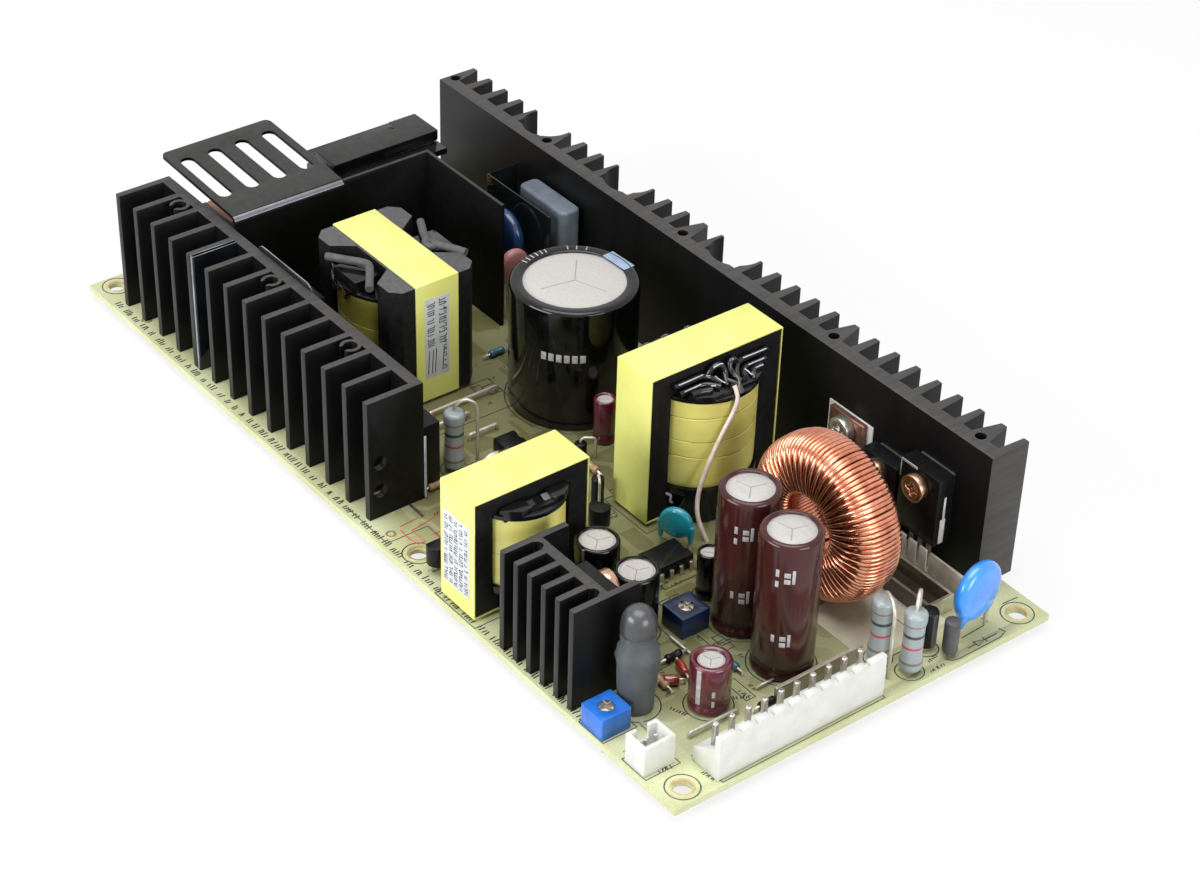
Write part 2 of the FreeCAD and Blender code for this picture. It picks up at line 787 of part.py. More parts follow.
def power_header(face_x, centre_y, ways, side):
    length = ways * header_pitch
    y0 = centre_y - length / 2 - header_end / 2
    y1 = centre_y + length / 2 + header_end / 2
    back = face_x - side * header_depth
    wall_in = face_x - side * header_wall
    low, high = sorted((back, face_x))
    base = box(low, high, y0, y1, board_top, board_top + header_base_height)
    low, high = sorted((wall_in, face_x))
    wall = box(low, high, y0, y1, board_top, board_top + header_height)
    for index in range(ways - 1):
        y = centre_y + (index - (ways - 2) / 2) * header_pitch
        wall = wall.cut(box(low - 1, high + 1, y - 0.6, y + 0.6,
                            board_top + header_height - 1.0, board_top + header_height + 1))
    cheeks = []
    for y in (y0, y1 - header_end):
        corners = [Vec(back, y, board_top + header_base_height),
                   Vec(wall_in, y, board_top + header_base_height),
                   Vec(wall_in, y, board_top + header_base_height + 3.4)]
        face = Part.Face(Part.makePolygon(corners + corners[:1]))
        cheeks.append(face.extrude(Vec(0, header_end, 0)))
    housing = joined([base, wall] + cheeks)
    pins = []
    pin_x = face_x - side * (header_wall + 3.2)
    half = header_pin / 2
    for index in range(ways):
        y = centre_y + (index - (ways - 1) / 2) * header_pitch
        pins.append(box(pin_x - half, pin_x + half, y - half, y + half,
                        board_top + header_base_height, board_top + header_height - 0.4))
        solder((pin_x, y))
    return housing, pins


def signal_header():
    x1 = output_x - 10.0
    x0 = x1 - signal_header_depth
    y0 = left_y + 0.6
    y1 = y0 + signal_header_width
    wall = signal_header_wall
    top = board_top + signal_header_height
    shell = box(x0, x1, y0, y1, board_top, top)
    shell = shell.cut(box(x0 + wall, x1 - wall, y0 + wall, y1 - wall, board_top + 2.0, top + 1))
    shell = shell.cut(box(x0 - 1, x0 + wall + 0.1, (y0 + y1) / 2 - 1.4, (y0 + y1) / 2 + 1.4,
                          board_top + 3.6, top + 1))
    pins = []
    half = signal_pin / 2
    for side in (-0.5, 0.5):
        x = (x0 + x1) / 2
        y = (y0 + y1) / 2 + side * signal_pitch
        pins.append(box(x - half, x + half, y - half, y + half, board_top + 2.0, top - 0.6))
        solder((x, y))
    return shell, pins


# Trimmers: square case with a round recess, and the slotted rotor that turns in it

def trimmer(x, y):
    top = board_top + trimmer_height
    case = box(x - trimmer_width / 2, x + trimmer_width / 2, y - trimmer_length / 2,
               y + trimmer_length / 2, board_top, top)
    case = rounded(case, 0.3, UP)
    case = case.cut(cylinder(x, y, top - rotor_recess, rotor_radius + rotor_clear, 2))
    floor = top - rotor_recess + rotor_clear
    rotor = cylinder(x, y, floor, rotor_radius, rotor_height)
    for length, width in ((3.4, 0.6), (0.6, 3.4)):
        rotor = rotor.cut(box(x - length / 2, x + length / 2, y - width / 2, y + width / 2,
                              floor + rotor_height - 0.5, floor + rotor_height + 1))
    solder((x - 2.5, y), (x + 2.5, y - 2.5), (x + 2.5, y + 2.5))
    return case, rotor


# Power devices stand against their heat sinks, held by screws

def power_device(x, face_y, side, width, height, thick, drop, lift, pitch, body_height=None):
    low_z = board_top + lift
    tabbed = body_height is not None
    tab_thick = small_tab_thick if tabbed else 0.9
    low, high = sorted((face_y + side * tab_thick, face_y + side * thick))
    body = box(x - width / 2, x + width / 2, low, high, low_z,
               low_z + (body_height if tabbed else height))
    hole_z = low_z + height - drop
    if not tabbed:
        body = body.cut(cylinder(x, low - 1, hole_z, screw_radius + 0.2, thick + 2, ALONG_Y))
    low, high = sorted((face_y, face_y + side * tab_thick))
    inset = 0.0 if tabbed else 0.8
    tab = box(x - width / 2 + inset, x + width / 2 - inset, low, high, low_z + 1.5 * inset,
              low_z + height - 0.5 * inset)
    tab = tab.cut(cylinder(x, low - 1, hole_z, screw_radius + 0.2, 3, ALONG_Y))
    legs = []
    for index in (-1, 0, 1):
        leg_x = x + index * pitch
        leg_y = face_y + side * 0.55 * thick
        legs.append(box(leg_x - leg_width / 2, leg_x + leg_width / 2, leg_y - leg_thick / 2,
                        leg_y + leg_thick / 2, board_top, low_z))
        solder((leg_x, leg_y))
    seat_y = face_y + side * (tab_thick if tabbed else thick)
    screw = pan_screw(x, seat_y, hole_z, side, abs(seat_y - face_y) - device_seat)
    return body, [tab] + legs, screw


def pan_screw(x, y, z, side, depth):
    head_y = y if side > 0 else y - screw_head_height
    head = cylinder(x, head_y, z, screw_head_radius, screw_head_height, ALONG_Y)
    shank_y = y - depth if side > 0 else y
    shank = cylinder(x, shank_y, z, screw_radius, depth, ALONG_Y)
    recess_y = y + side * screw_head_height
    for width, tall in ((3.4, 0.8), (0.8, 3.4)):
        head = head.cut(box(x - width / 2, x + width / 2, recess_y - 0.9, recess_y + 0.9,
                            z - tall / 2, z + tall / 2))
    return head.fuse(shank)


# Small parts

def standing_resistor(x, y, away_x, away_y):
    low = board_top + resistor_lift
    high = low + resistor_length
    r = resistor_radius
    profile = [(0, 0), (0.75 * r, 0), (r, 0.6), (r, 2.4), (0.9 * r, 3.0),
               (0.9 * r, resistor_length - 3.0), (r, resistor_length - 2.4),
               (r, resistor_length - 0.6), (0.75 * r, resistor_length), (0, resistor_length)]
    body = turned(profile, x, y, low)
    foot = cylinder(x, y, board_top, lead_radius, resistor_lift)
    far_z = high + 0.8 * resistor_loop
    loop = bent_wire([(x, y, high), (x, y, high + resistor_loop), (away_x, away_y, far_z),
                      (away_x, away_y, board_top)], lead_radius, resistor_bend)
    solder((x, y), (away_x, away_y))
    return body, [foot, loop]


def disc_part(x, y, angle, radius, thick, lift, spread):
    edge = 0.3 * thick
    profile = [(0, 0), (radius - edge, 0), (radius, edge), (radius, thick - edge),
               (radius - edge, thick), (0, thick)]
    disc = turned(profile, 0, 0, -thick / 2)
    disc.rotate(Vec(0, 0, 0), ALONG_X, 90)
    disc.rotate(Vec(0, 0, 0), UP, angle)
    disc.translate(Vec(x, y, board_top + lift + radius))
    leads = []
    for side in (-0.5, 0.5):
        lead_x = x + side * spread * math.cos(math.radians(angle))
        lead_y = y + side * spread * math.sin(math.radians(angle))
        drop = radius - math.sqrt(radius * radius - spread * spread / 4)
        leads.append(cylinder(lead_x, lead_y, board_top, lead_radius, lift + drop + 0.2))
        solder((lead_x, lead_y))
    whole = disc
    for lead in leads:
        whole = whole.cut(lead)
    return whole, leads


def jumper(x, y0, y1, rise):
    solder((x, y0), (x, y1))
    return bent_wire([(x, y0, board_top), (x, y0, board_top + rise), (x, y1, board_top + rise),
                      (x, y1, board_top)], lead_radius, 0.6)


def flat_side_transistor(x, y, angle):
    low = board_top + transistor_lift
    body = cylinder(0, 0, low, transistor_radius, transistor_height)
    body = body.cut(box(-4, 4, 0.55 * transistor_radius, 4, low - 1, low + transistor_height + 1))
    body.rotate(Vec(0, 0, 0), UP, angle)
    body.translate(Vec(x, y, 0))
    legs = []
    for index in (-1, 0, 1):
        leg_x = x + index * 1.27 * math.cos(math.radians(angle))
        leg_y = y + index * 1.27 * math.sin(math.radians(angle))
        legs.append(box(leg_x - 0.25, leg_x + 0.25, leg_y - 0.25, leg_y + 0.25, board_top, low))
    solder((x, y))
    return body, legs


def dual_row_chip(x, y, angle, length, width, pins):
    body = box(-width / 2, width / 2, -length / 2, length / 2, board_top + 0.5, board_top + 3.5)
    body = body.cut(cylinder(0, length / 2, board_top + 3.1, 0.9, 1))
    legs = []
    reach = width / 2 + 0.35
    for side in (-1, 1):
        for index in range(pins):
            leg_y = (index - (pins - 1) / 2) * 2.54
            near, far = sorted((side * width / 2, side * (width / 2 + 0.7)))
            legs.append(box(near, far, leg_y - 0.45, leg_y + 0.45, board_top, board_top + 2.2))
            foot = FreeCAD.Rotation(UP, angle).multVec(Vec(side * reach, leg_y, 0))
            solder((x + foot.x, y + foot.y))
    for solid in [body] + legs:
        solid.rotate(Vec(0, 0, 0), UP, angle)
        solid.translate(Vec(x, y, 0))
    return body, legs


# Build and write the sub-parts

write("circuit_board", circuit_board())
write("left_heat_sink", left_heat_sink())
write("fin_film", fin_film())
write("device_back_sheet", back_sheet())
write("long_heat_sink", long_heat_sink())
write("small_heat_sink", small_heat_sink())
for start, end, inset, sink_y in (
        (left_sink_start, left_sink_end, 13.0, left_base_outer + 1.0),
        (small_sink_start, small_sink_end, 6.0, small_base_outer + 1.0),
        (long_sink_start, long_sink_end, 30.0, long_base_outer - 1.5)):
    solder((start + inset, sink_y), (end - inset, sink_y))
write("insulating_screen", insulating_screen())

core, bobbin, winding, tape = boost_choke()
write("boost_choke_core", core)
write("boost_choke_bobbin", bobbin)
write("boost_choke_winding", winding)
write("boost_choke_tape", tape)

core, bobbin, winding, tape = upright_transformer(
    from_input(main_from_input), across(main_y), main_core_width, main_core_depth,
    main_core_height, main_bobbin_seat, main_post_radius, main_window_radius, main_yoke, 5)
write("main_transformer_core", core)
write("main_transformer_bobbin", bobbin)
write("main_transformer_winding", winding)
write("main_transformer_tape", tape)
write("main_transformer_fly_lead", fly_lead())

core, bobbin, winding, tape = upright_transformer(
    from_output(control_from_output), across(control_y), control_core_width,
    control_core_depth, control_core_height, control_bobbin_seat, control_post_radius,
    control_window_radius, control_yoke, 1)
write("control_transformer_core", core)
write("control_transformer_bobbin", bobbin)
write("control_transformer_winding", winding)
write("control_transformer_tape", tape)

bobbin, drums = line_filter()
write("line_filter_bobbin", bobbin)
write("line_filter_windings", drums)

core, turns = output_choke()
write("output_choke_core", core)
write("output_choke_winding", turns)

bulk_x = from_input(bulk_from_input)
can, sleeve = electrolytic(bulk_x, across(bulk_y), bulk_diameter, bulk_height, 0.79, False)
write("bulk_capacitor_can", can)
write("bulk_capacitor_sleeve", sleeve)

cans = []
sleeves = []
for distance, y in ((34.8, -3.1), (20.2, -5.2)):
    can, sleeve = electrolytic(from_output(distance), across(y), output_can_diameter,
                               output_can_height, 0.78, True)
    cans.append(can)
    sleeves.append(sleeve)
write("output_capacitor_sleeves", sleeves)

black_sleeves = []
for distance, y, diameter, height in ((56.5, -22.9, control_can_diameter, control_can_height),
                                      (44.5, -22.5, control_can_diameter, control_can_height),
                                      (44.9, -3.6, small_can_diameter, small_can_height)):
    can, sleeve = electrolytic(from_output(distance), across(y), diameter, height, 0.76, True)
    cans.append(can)
    black_sleeves.append(sleeve)
write("control_capacitor_sleeves", black_sleeves)

can, sleeve = electrolytic(from_output(19.0), across(-24.5), maroon_can_diameter,
                           maroon_can_height, 0.66, True)
cans.append(can)
red_sleeves = [sleeve]
red_can_x = bulk_x + (bulk_diameter + small_can_diameter) / 2 + red_can_gap
can, sleeve = electrolytic(red_can_x, across(11.9), small_can_diameter, small_can_height, 0.72,
                           True)
cans.append(can)
red_sleeves.append(sleeve)
write("red_capacitor_sleeves", red_sleeves)
write("small_capacitor_cans", cans)

housing, pins = power_header(output_x - header_edge_gap, across(header_centre_y), header_ways, 1)
write("output_header_housing", housing)
header_pins = pins
housing, pins = power_header(input_x + header_edge_gap, across(-6.0), 3, -1)
write("mains_header_housing", housing)
header_pins += pins
housing, pins = signal_header()
write("signal_header_housing", housing)
write("header_pins", header_pins + pins)

case, rotor = trimmer(from_output(25.7), left_y + 3.9)
write("voltage_trimmer_case", case)
write("voltage_trimmer_rotor", rotor)
case, rotor = trimmer(from_output(39.9), across(-13.3))
write("limit_trimmer_case", case)
write("limit_trimmer_rotor", rotor)

device_size = (package_width, package_height, package_thick, body_hole_drop)
long_size = (long_package_width, long_package_height, package_thick, long_hole_drop)
small_size = (small_package_width, small_package_height, small_package_thick, small_hole_drop)
long_device_x = from_output(long_device_from_output)
middle_device_x = long_device_x - (long_package_width + small_package_width) / 2 - device_gap
pad_device_x = middle_device_x - small_package_width - 2.5 * device_gap
small_sink_x = (small_sink_start + small_sink_end) / 2 + small_device_shift
devices = [
    power_device(long_device_x, long_face, -1, *long_size, 7.6, 2.54),
    power_device(middle_device_x, long_face, -1, *small_size, 3.5, 2.54),
    power_device(pad_device_x, long_face - pad_thickness, -1, *small_size, 5.0, 2.54,
                 small_body_height),
    power_device(left_sink_end - left_device_last, left_inner, 1, package_width, low_package_height,
                 package_thick, body_hole_drop, 0.8, 5.45),
    power_device(left_sink_start + left_device_second, left_device_face, 1, *device_size, 4.0,
                 5.45),
    power_device(left_sink_start + left_device_first, left_inner, 1, *device_size, 4.0, 5.45),
    power_device(small_sink_x, small_base_inner, 1, *small_size, small_device_lift, 2.54)]
bodies = [body for body, metal_parts, screw in devices]
metal = [part for body, metal_parts, screw in devices for part in metal_parts]
screws = [screw for body, metal_parts, screw in devices]
write("power_device_packages", bodies)
write("power_device_tabs_and_legs", metal)
write("device_screws", screws)
pad_half = small_package_width / 2 + pad_margin_x
pad = box(pad_device_x - pad_half, pad_device_x + pad_half, long_face - pad_thickness, long_face,
          board_top + pad_low, board_top + pad_low + pad_height)
write("insulating_pad", pad)

resistors = []
wires = []
for x, y, away_x, away_y in ((from_output(10.1), 11.0, from_output(4.4), 8.4),
                             (from_output(3.6), 13.4, from_output(6.6), 17.2),
                             (from_input(108.0), -20.4, from_input(110.5), -16.2)):
    body, leads = standing_resistor(x, across(y), away_x, across(away_y))
    resistors.append(body)
    wires += leads
write("power_resistors", resistors)

film_bend = long_face - 8.3
film_start = from_input(45.6)
film_length = 24.2
disc, leads = disc_part(from_output(4.9), long_face - 10.2, 98, 6.6, 4.2, 4.2, 8.0)
write("snubber_capacitor", disc)
wires += leads
surge_x = from_input(58.0)
surge_radius = 6.5
inrush_thick = 3.2
inrush_radius = 3.8
inrush_y = screen_turn_y + inrush_radius + 1.0
disc, leads = disc_part(surge_x, film_bend - 4.4, 0, surge_radius, 4.2, 9.5, 7.5)
surge_discs = [disc]
wires += leads
disc, leads = disc_part(surge_x + surge_radius + inrush_thick / 2 + 0.1, inrush_y, 90,
                        inrush_radius, inrush_thick, 9.5, 5.0)
write("inrush_disc", disc)
wires += leads
disc, leads = disc_part(from_output(61.0), across(1.1), 30, 3.7, 2.6, 2.3, 6.6)
write("feedback_capacitor", disc)
wires += leads

for x, y0, y1, rise in ((from_input(89.7), -14.2, 4.0, 1.4), (from_input(94.3), -15.8, -6.9, 1.4),
                        (from_input(101.4), -11.9, -4.5, 1.4),
                        (from_output(13.7), -33.6, -21.8, 1.2)):
    wires.append(jumper(x, across(y0), across(y1), rise))
film_cap_start = film_start + 8.4
film_cap_end = film_cap_start + 17.2
film_cap_top = board_top + 25.2
film = box(film_cap_start, film_cap_end, long_face - 6.1, long_face - 0.7, board_top + 0.1,
           film_cap_top)
film = rounded(film, 1.6, UP)
film_top = [edge for edge in film.Edges if edge.CenterOfMass.z > film_cap_top - 0.1]
write("filter_film_capacitor", film.makeFillet(0.8, film_top))
solder((film_cap_start + 2, long_face - 3.4), (film_cap_end - 2, long_face - 3.4))

sheet_top = board_top + 24.6
sheet = box(film_start, film_start + film_length, film_bend - 0.4, film_bend, board_top, sheet_top)
sheet = sheet.fuse(box(film_start, film_start + 0.4, film_bend - 0.4, long_face - 0.1, board_top,
                       sheet_top))
write("insulating_film", sheet.removeSplitter())

x0 = from_input(5.5)
line_cap = box(x0, x0 + 8.6, across(8.5), across(8.5) + 26.0, board_top + 0.1, board_top + 16.6)
write("line_capacitor", rounded(line_cap, 0.6, UP))
solder((x0 + 4.3, across(8.5) + 2), (x0 + 4.3, across(8.5) + 24))
fuse_start = from_input(5.0)
fuse_end = fuse_start + 11.0
fuse_y = across(-17.6)
fuse_z = board_top + 13.0
write("line_fuse", cylinder(fuse_start, fuse_y, fuse_z, 2.1, fuse_end - fuse_start, ALONG_X))
for x0, x1 in ((fuse_start, fuse_start - 1.6), (fuse_end, fuse_end + 2.0)):
    wires.append(bent_wire([(x0, fuse_y, fuse_z), (x1, fuse_y, fuse_z), (x1, fuse_y, board_top)],
                           lead_radius, 1.0))
    solder((x1, fuse_y))
disc, leads = disc_part(from_input(14.0), fuse_y - 6.0, 0, 7.0, 3.6, 4.0, 7.5)
surge_discs.append(disc)
write("surge_discs", surge_discs)
wires += leads

r = wrap_radius
h = wrap_height
profile = [(0, 0), (wrap_foot_radius, 0), (wrap_foot_radius + 0.2, 4.0), (wrap_shoulder_radius, 12.0),
           (wrap_shoulder_radius - 0.1, 15.0), (r + 0.15, 18.0), (r, h - 1.4), (r - 0.5, h - 0.4),
           (r - 1.2, h), (0, h)]
wrap_x = small_sink_end + wrap_gap + wrap_shoulder_radius
wrap_y = left_y + wrap_from_left_edge
write("wrapped_choke", turned(profile, wrap_x, wrap_y, board_top))
solder((wrap_x - 1.5, wrap_y), (wrap_x + 1.5, wrap_y))

chips = []
chip_legs = []
for x, y, angle, length, width, count in ((from_output(56.6), -5.0, 0, 9.4, 6.4, 4),
                                          (from_input(110.0), -7.4, 0, 5.4, 4.6, 2)):
    body, legs = dual_row_chip(x, across(y), angle, length, width, count)
    chips.append(body)
    chip_legs += legs
for x, y, angle in ((from_output(74.0), across(-8.6), 30), (from_output(83.0), left_y + 5.2, 90)):
    body, legs = flat_side_transistor(x, y, angle)
    chips.append(body)
    chip_legs += legs
write("control_chips", chips)
write("control_chip_legs", chip_legs)

diodes = []
for x, y, radius, length in ((from_output(6.8), 20.6, 1.9, 8.4), (from_output(2.6), 22.9, 1.6, 7.6)):
    diodes.append(cylinder(x, across(y), board_top + 1.2, radius, length))
    wires.append(cylinder(x, across(y), board_top, lead_radius, 1.2))
    solder((x, across(y)))
for x, y, away_x, away_y, length in ((from_input(120.6), 3.6, from_input(122.2), 6.4, 3.4),
                                     (from_input(136.0), -3.7, from_input(138.4), -5.1, 6.6)):
    y = across(y)
    away_y = across(away_y)
    diodes.append(cylinder(x, y, board_top + 0.8, 1.35, length))
    high = board_top + 0.8 + length
    wires.append(cylinder(x, y, board_top, lead_radius, 0.8))
    wires.append(bent_wire([(x, y, high), (x, y, high + 1.3), (away_x, away_y, high + 1.0),
                            (away_x, away_y, board_top)], 0.3, 0.9))
    solder((x, y), (away_x, away_y))
write("standing_diodes", diodes)
beads = []
for x, y, angle, radius, length in ((from_output(29.4), -22.6, -17, 0.9, 3.8),
                                    (from_output(49.1), 0.2, 90, 0.8, 3.4),
                                    (from_output(27.6), -26.8, 60, 1.1, 3.0)):
    way = Vec(math.cos(math.radians(angle)), math.sin(math.radians(angle)), 0)
    middle = Vec(x, across(y), board_top + radius + 0.1)
    start = middle - way * (length / 2)
    beads.append(Part.makeCylinder(radius, length, start, way))
    for side in (-1, 1):
        end = middle + way * (side * length / 2)
        foot = middle + way * (side * (length / 2 + 1.2))
        wires.append(bent_wire([tuple(end), tuple(foot), (foot.x, foot.y, board_top)], 0.25, 0.4))
        solder((foot.x, foot.y))
write("small_glass_diodes", beads)

strip_x = output_x - 12.3
strip = box(strip_x, strip_x + 0.8, across(-14.0), across(8.0), board_top, board_top + 3.8)
channel_start = from_output(33.0)
channel_length = 20.6
channel_y = long_face - 15.2
channel = box(channel_start, channel_start + channel_length, channel_y, channel_y + 6.9, board_top,
              board_top + 4.0)
channel = channel.cut(box(channel_start - 1, channel_start + channel_length - 0.8, channel_y + 0.8,
                          channel_y + 6.1, board_top + 0.8, board_top + 5))
comb_start = channel_start - 3.0
comb_y = long_face - 6.2
comb = box(comb_start, comb_start + 23.5, comb_y, comb_y + 0.6, board_top, board_top + 7.0)
for index in range(3):
    x0 = comb_start + 6.5 + index * 3.1
    comb = comb.cut(box(x0, x0 + 1.0, comb_y - 1, comb_y + 2, board_top + 2.0, board_top + 8))
write("bus_bars", [strip, channel, comb])
loop_x = from_input(115.0)
loop_low = across(-18.2)
loop_high = across(-12.4)
wires.append(bent_wire([(loop_x, loop_low, board_top), (loop_x, loop_low, board_top + 5.6),
                        (loop_x, loop_high, board_top + 5.6), (loop_x, loop_high, board_top)],
                       0.65, 2.6))
solder((loop_x, loop_low), (loop_x, loop_high))
write("leads_and_jumpers", wires)
solder((strip_x + 0.4, across(-12)), (strip_x + 0.4, across(6)),
       (channel_start + 3, channel_y + 3.7), (channel_start + 17, channel_y + 3.7),
       (comb_start + 19, comb_y + 0.3))

write("input_solder_joints", solder_joints(input_x, 12.0))
write("output_solder_joints", solder_joints(12.0, output_x))
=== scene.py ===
import math
import random

import bpy
from mathutils import Matrix, Vector


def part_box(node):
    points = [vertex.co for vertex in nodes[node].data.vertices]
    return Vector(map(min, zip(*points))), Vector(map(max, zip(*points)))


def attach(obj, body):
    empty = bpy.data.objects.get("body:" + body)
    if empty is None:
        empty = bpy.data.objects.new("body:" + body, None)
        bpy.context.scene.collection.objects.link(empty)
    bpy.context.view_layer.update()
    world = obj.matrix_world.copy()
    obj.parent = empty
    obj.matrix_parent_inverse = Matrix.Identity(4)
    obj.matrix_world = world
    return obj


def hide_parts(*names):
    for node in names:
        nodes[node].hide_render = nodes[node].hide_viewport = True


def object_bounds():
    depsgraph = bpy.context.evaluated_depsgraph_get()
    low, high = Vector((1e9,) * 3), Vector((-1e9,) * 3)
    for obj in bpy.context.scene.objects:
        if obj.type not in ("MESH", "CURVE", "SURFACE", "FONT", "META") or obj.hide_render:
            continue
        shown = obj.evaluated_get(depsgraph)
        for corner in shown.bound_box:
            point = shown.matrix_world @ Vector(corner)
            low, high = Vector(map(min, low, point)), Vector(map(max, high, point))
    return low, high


# Open frame power supply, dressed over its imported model. The scene is in metres, +Z up, with the
# origin on the underside of the board between its four corner holes. Places and sizes that the
# functions below are given are in millimetres.

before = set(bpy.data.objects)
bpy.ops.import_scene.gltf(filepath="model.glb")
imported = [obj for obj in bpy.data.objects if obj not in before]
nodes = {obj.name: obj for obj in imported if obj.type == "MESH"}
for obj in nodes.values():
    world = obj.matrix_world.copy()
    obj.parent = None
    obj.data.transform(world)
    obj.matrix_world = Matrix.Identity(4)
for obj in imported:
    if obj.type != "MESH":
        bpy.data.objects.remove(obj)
cad_low, cad_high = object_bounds()
scene = bpy.context.scene
random.seed(7)

MM = 0.001
MICRON = 0.000001
BLACK = (0, 0, 0)
WHITE = (1, 1, 1)

# Room: the camera's turn, height and tilt in degrees, and lamps as name, place, aim, width,
# height and power
CAMERA_ANGLES = (51.386, 35.85, -1.825)
CAMERA_AIM = Vector((10.492, 10.13, 1.6)) * MM
CAMERA_REACH = 0.588768
FLOOR_GAP = 0.05 * MM
FLOOR_WHITE = 0.80
SKY_POWER = 0.155
LAMPS = (("overhead_softbox", (0.02, -0.05, 0.80), (0, 0, 0.01), 0.7, 0.6, 6.2),
         ("left_softbox", (-0.10, -0.80, 0.36), (0, 0, 0.02), 0.6, 0.35, 6.3),
         ("right_softbox", (0.80, 0.02, 0.26), (0.03, 0.0, 0.02), 0.4, 0.4, 3.2))

# Where the large parts stand on the board
PRINT_LEVEL = 1.6
SQUARE_ON = 0.9                   # a face that looks along an axis has at least this share of it
BOOST_CHOKE = (-39.5, -8.6)
MAIN_TRANSFORMER = (33.8, 17.0)
CONTROL_TRANSFORMER = (38.3, -33.0)
BULK_CAPACITOR = (-8.1, 16.6)
TALL_CAPACITORS = ((73.7, -3.1), (88.3, -5.2))
BLACK_CAPACITORS = ((52.0, -22.9), (64.0, -22.5), (63.6, -3.6))
RED_CAPACITORS = ((89.5, -24.5), (9.55, 11.9))
RESISTORS = ((98.4, 11.0), (104.9, 13.4), (-0.5, -20.4))
WRAPPED_CHOKE = (81.6, -36.0)


# Camera, room and light

def place_camera():
    around, above, tilt = (math.radians(angle) for angle in CAMERA_ANGLES)
    back = Vector((math.sin(around) * math.cos(above), -math.cos(around) * math.cos(above),
                   math.sin(above)))
    level = (-back).cross(Vector((0, 0, 1))).normalized()
    down = (-back).cross(level)
    right = level * math.cos(tilt) + down * math.sin(tilt)
    image_down = down * math.cos(tilt) - level * math.sin(tilt)
    data = bpy.data.cameras.new("photo_camera")
    data.lens = 82.0
    data.sensor_width = 36.0
    data.clip_start = 0.01
    data.clip_end = 20
    camera = bpy.data.objects.new("photo_camera", data)
    scene.collection.objects.link(camera)
    facing = Matrix((right, -image_down, back)).transposed().to_4x4()
    camera.matrix_world = Matrix.Translation(CAMERA_AIM + back * CAMERA_REACH) @ facing
    scene.camera = camera


def add_lamp(name, place, aim, width, height, power):
    data = bpy.data.lights.new(name, "AREA")
    data.shape = "RECTANGLE"
    data.size = width
    data.size_y = height
    data.energy = power
    lamp = bpy.data.objects.new(name, data)
    scene.collection.objects.link(lamp)
    way = (Vector(aim) - Vector(place)).to_track_quat("-Z", "Y")
    lamp.matrix_world = Matrix.Translation(place) @ way.to_matrix().to_4x4()


def light_studio():
    scene.view_settings.view_transform = "Standard"
    world = bpy.data.worlds.new("studio_air")
    world.use_nodes = True
    tree = world.node_tree
    sky = tree.nodes["Background"]
    sky.inputs["Color"].default_value = (0.95, 0.97, 1.0, 1)
    sky.inputs["Strength"].default_value = SKY_POWER
    plain = add_node(tree, "Background", {"Color": (*WHITE, 1), "Strength": 1.0})
    show_directly(tree, sky.outputs["Background"], plain.outputs["Background"], "World Output", 1.0)
    scene.world = world
    for lamp in LAMPS:
        add_lamp(*lamp)


def show_directly(tree, lit, plain, last, share):
    """Rays from the lens see plain, and all others see lit."""
    path = tree.nodes.new("ShaderNodeLightPath")
    seen = path.outputs["Is Camera Ray"]
    for kind in ("Is Glossy Ray", "Is Transmission Ray"):
        seen = add_maths(tree, "MAXIMUM", seen, path.outputs[kind])
    seen = add_maths(tree, "MULTIPLY", seen, share)
    mix = add_node(tree, "MixShader", {0: seen, 1: lit, 2: plain})
    tree.links.new(mix.outputs["Shader"], tree.nodes[last].inputs["Surface"])


def lay_floor():
    start_clean()
    bpy.ops.mesh.primitive_plane_add(size=6, location=(0, 0, cad_low.z - FLOOR_GAP))
    floor = bpy.context.object
    floor.name = "floor"
    bpy.ops.object.transform_apply(location=True, rotation=True, scale=True)
    material = new_finish("white_floor", 0.9)
    tree = material.node_tree
    body = tree.nodes["Principled BSDF"]
    body.inputs["Base Color"].default_value = (0.86, 0.86, 0.86, 1)
    white = add_node(tree, "Emission", {"Color": (*WHITE, 1)})
    show_directly(tree, body.outputs["BSDF"], white.outputs["Emission"], "Material Output",
                  FLOOR_WHITE)
    floor.data.materials.append(material)


# Hand tools

def start_clean():
    if bpy.context.mode != "OBJECT":
        bpy.ops.object.mode_set(mode="OBJECT")
    bpy.ops.object.select_all(action="DESELECT")


def pick_up(piece):
    start_clean()
    piece.select_set(True)
    bpy.context.view_layer.objects.active = piece


def bake_steps(piece):
    pick_up(piece)
    for name in [step.name for step in piece.modifiers]:
        bpy.ops.object.modifier_apply(modifier=name)


def smooth(piece, angle=40):
    pick_up(piece)
    bpy.ops.object.shade_smooth_by_angle(angle=math.radians(angle))


def fit(piece, finish, *stands_for, body="supply", slot=None):
    pick_up(piece)
    bpy.ops.object.transform_apply(location=True, rotation=True, scale=True)
    piece.data.materials.clear()
    piece.data.materials.append(finishes[finish])
    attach(piece, body)
    if stands_for:
        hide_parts(*stands_for)
    return piece


def gather(name, pieces):
    pick_up(pieces[0])
    for piece in pieces[1:]:
        piece.select_set(True)
    if len(pieces) > 1:
        bpy.ops.object.join()
    pieces[0].name = name
    return pieces[0]


def round_edges(piece, width, segments=2):
    step = piece.modifiers.new("round_edges", "BEVEL")
    step.width = width * MM
    step.segments = segments
    step.limit_method = "ANGLE"
    step.angle_limit = math.radians(35)
    bake_steps(piece)


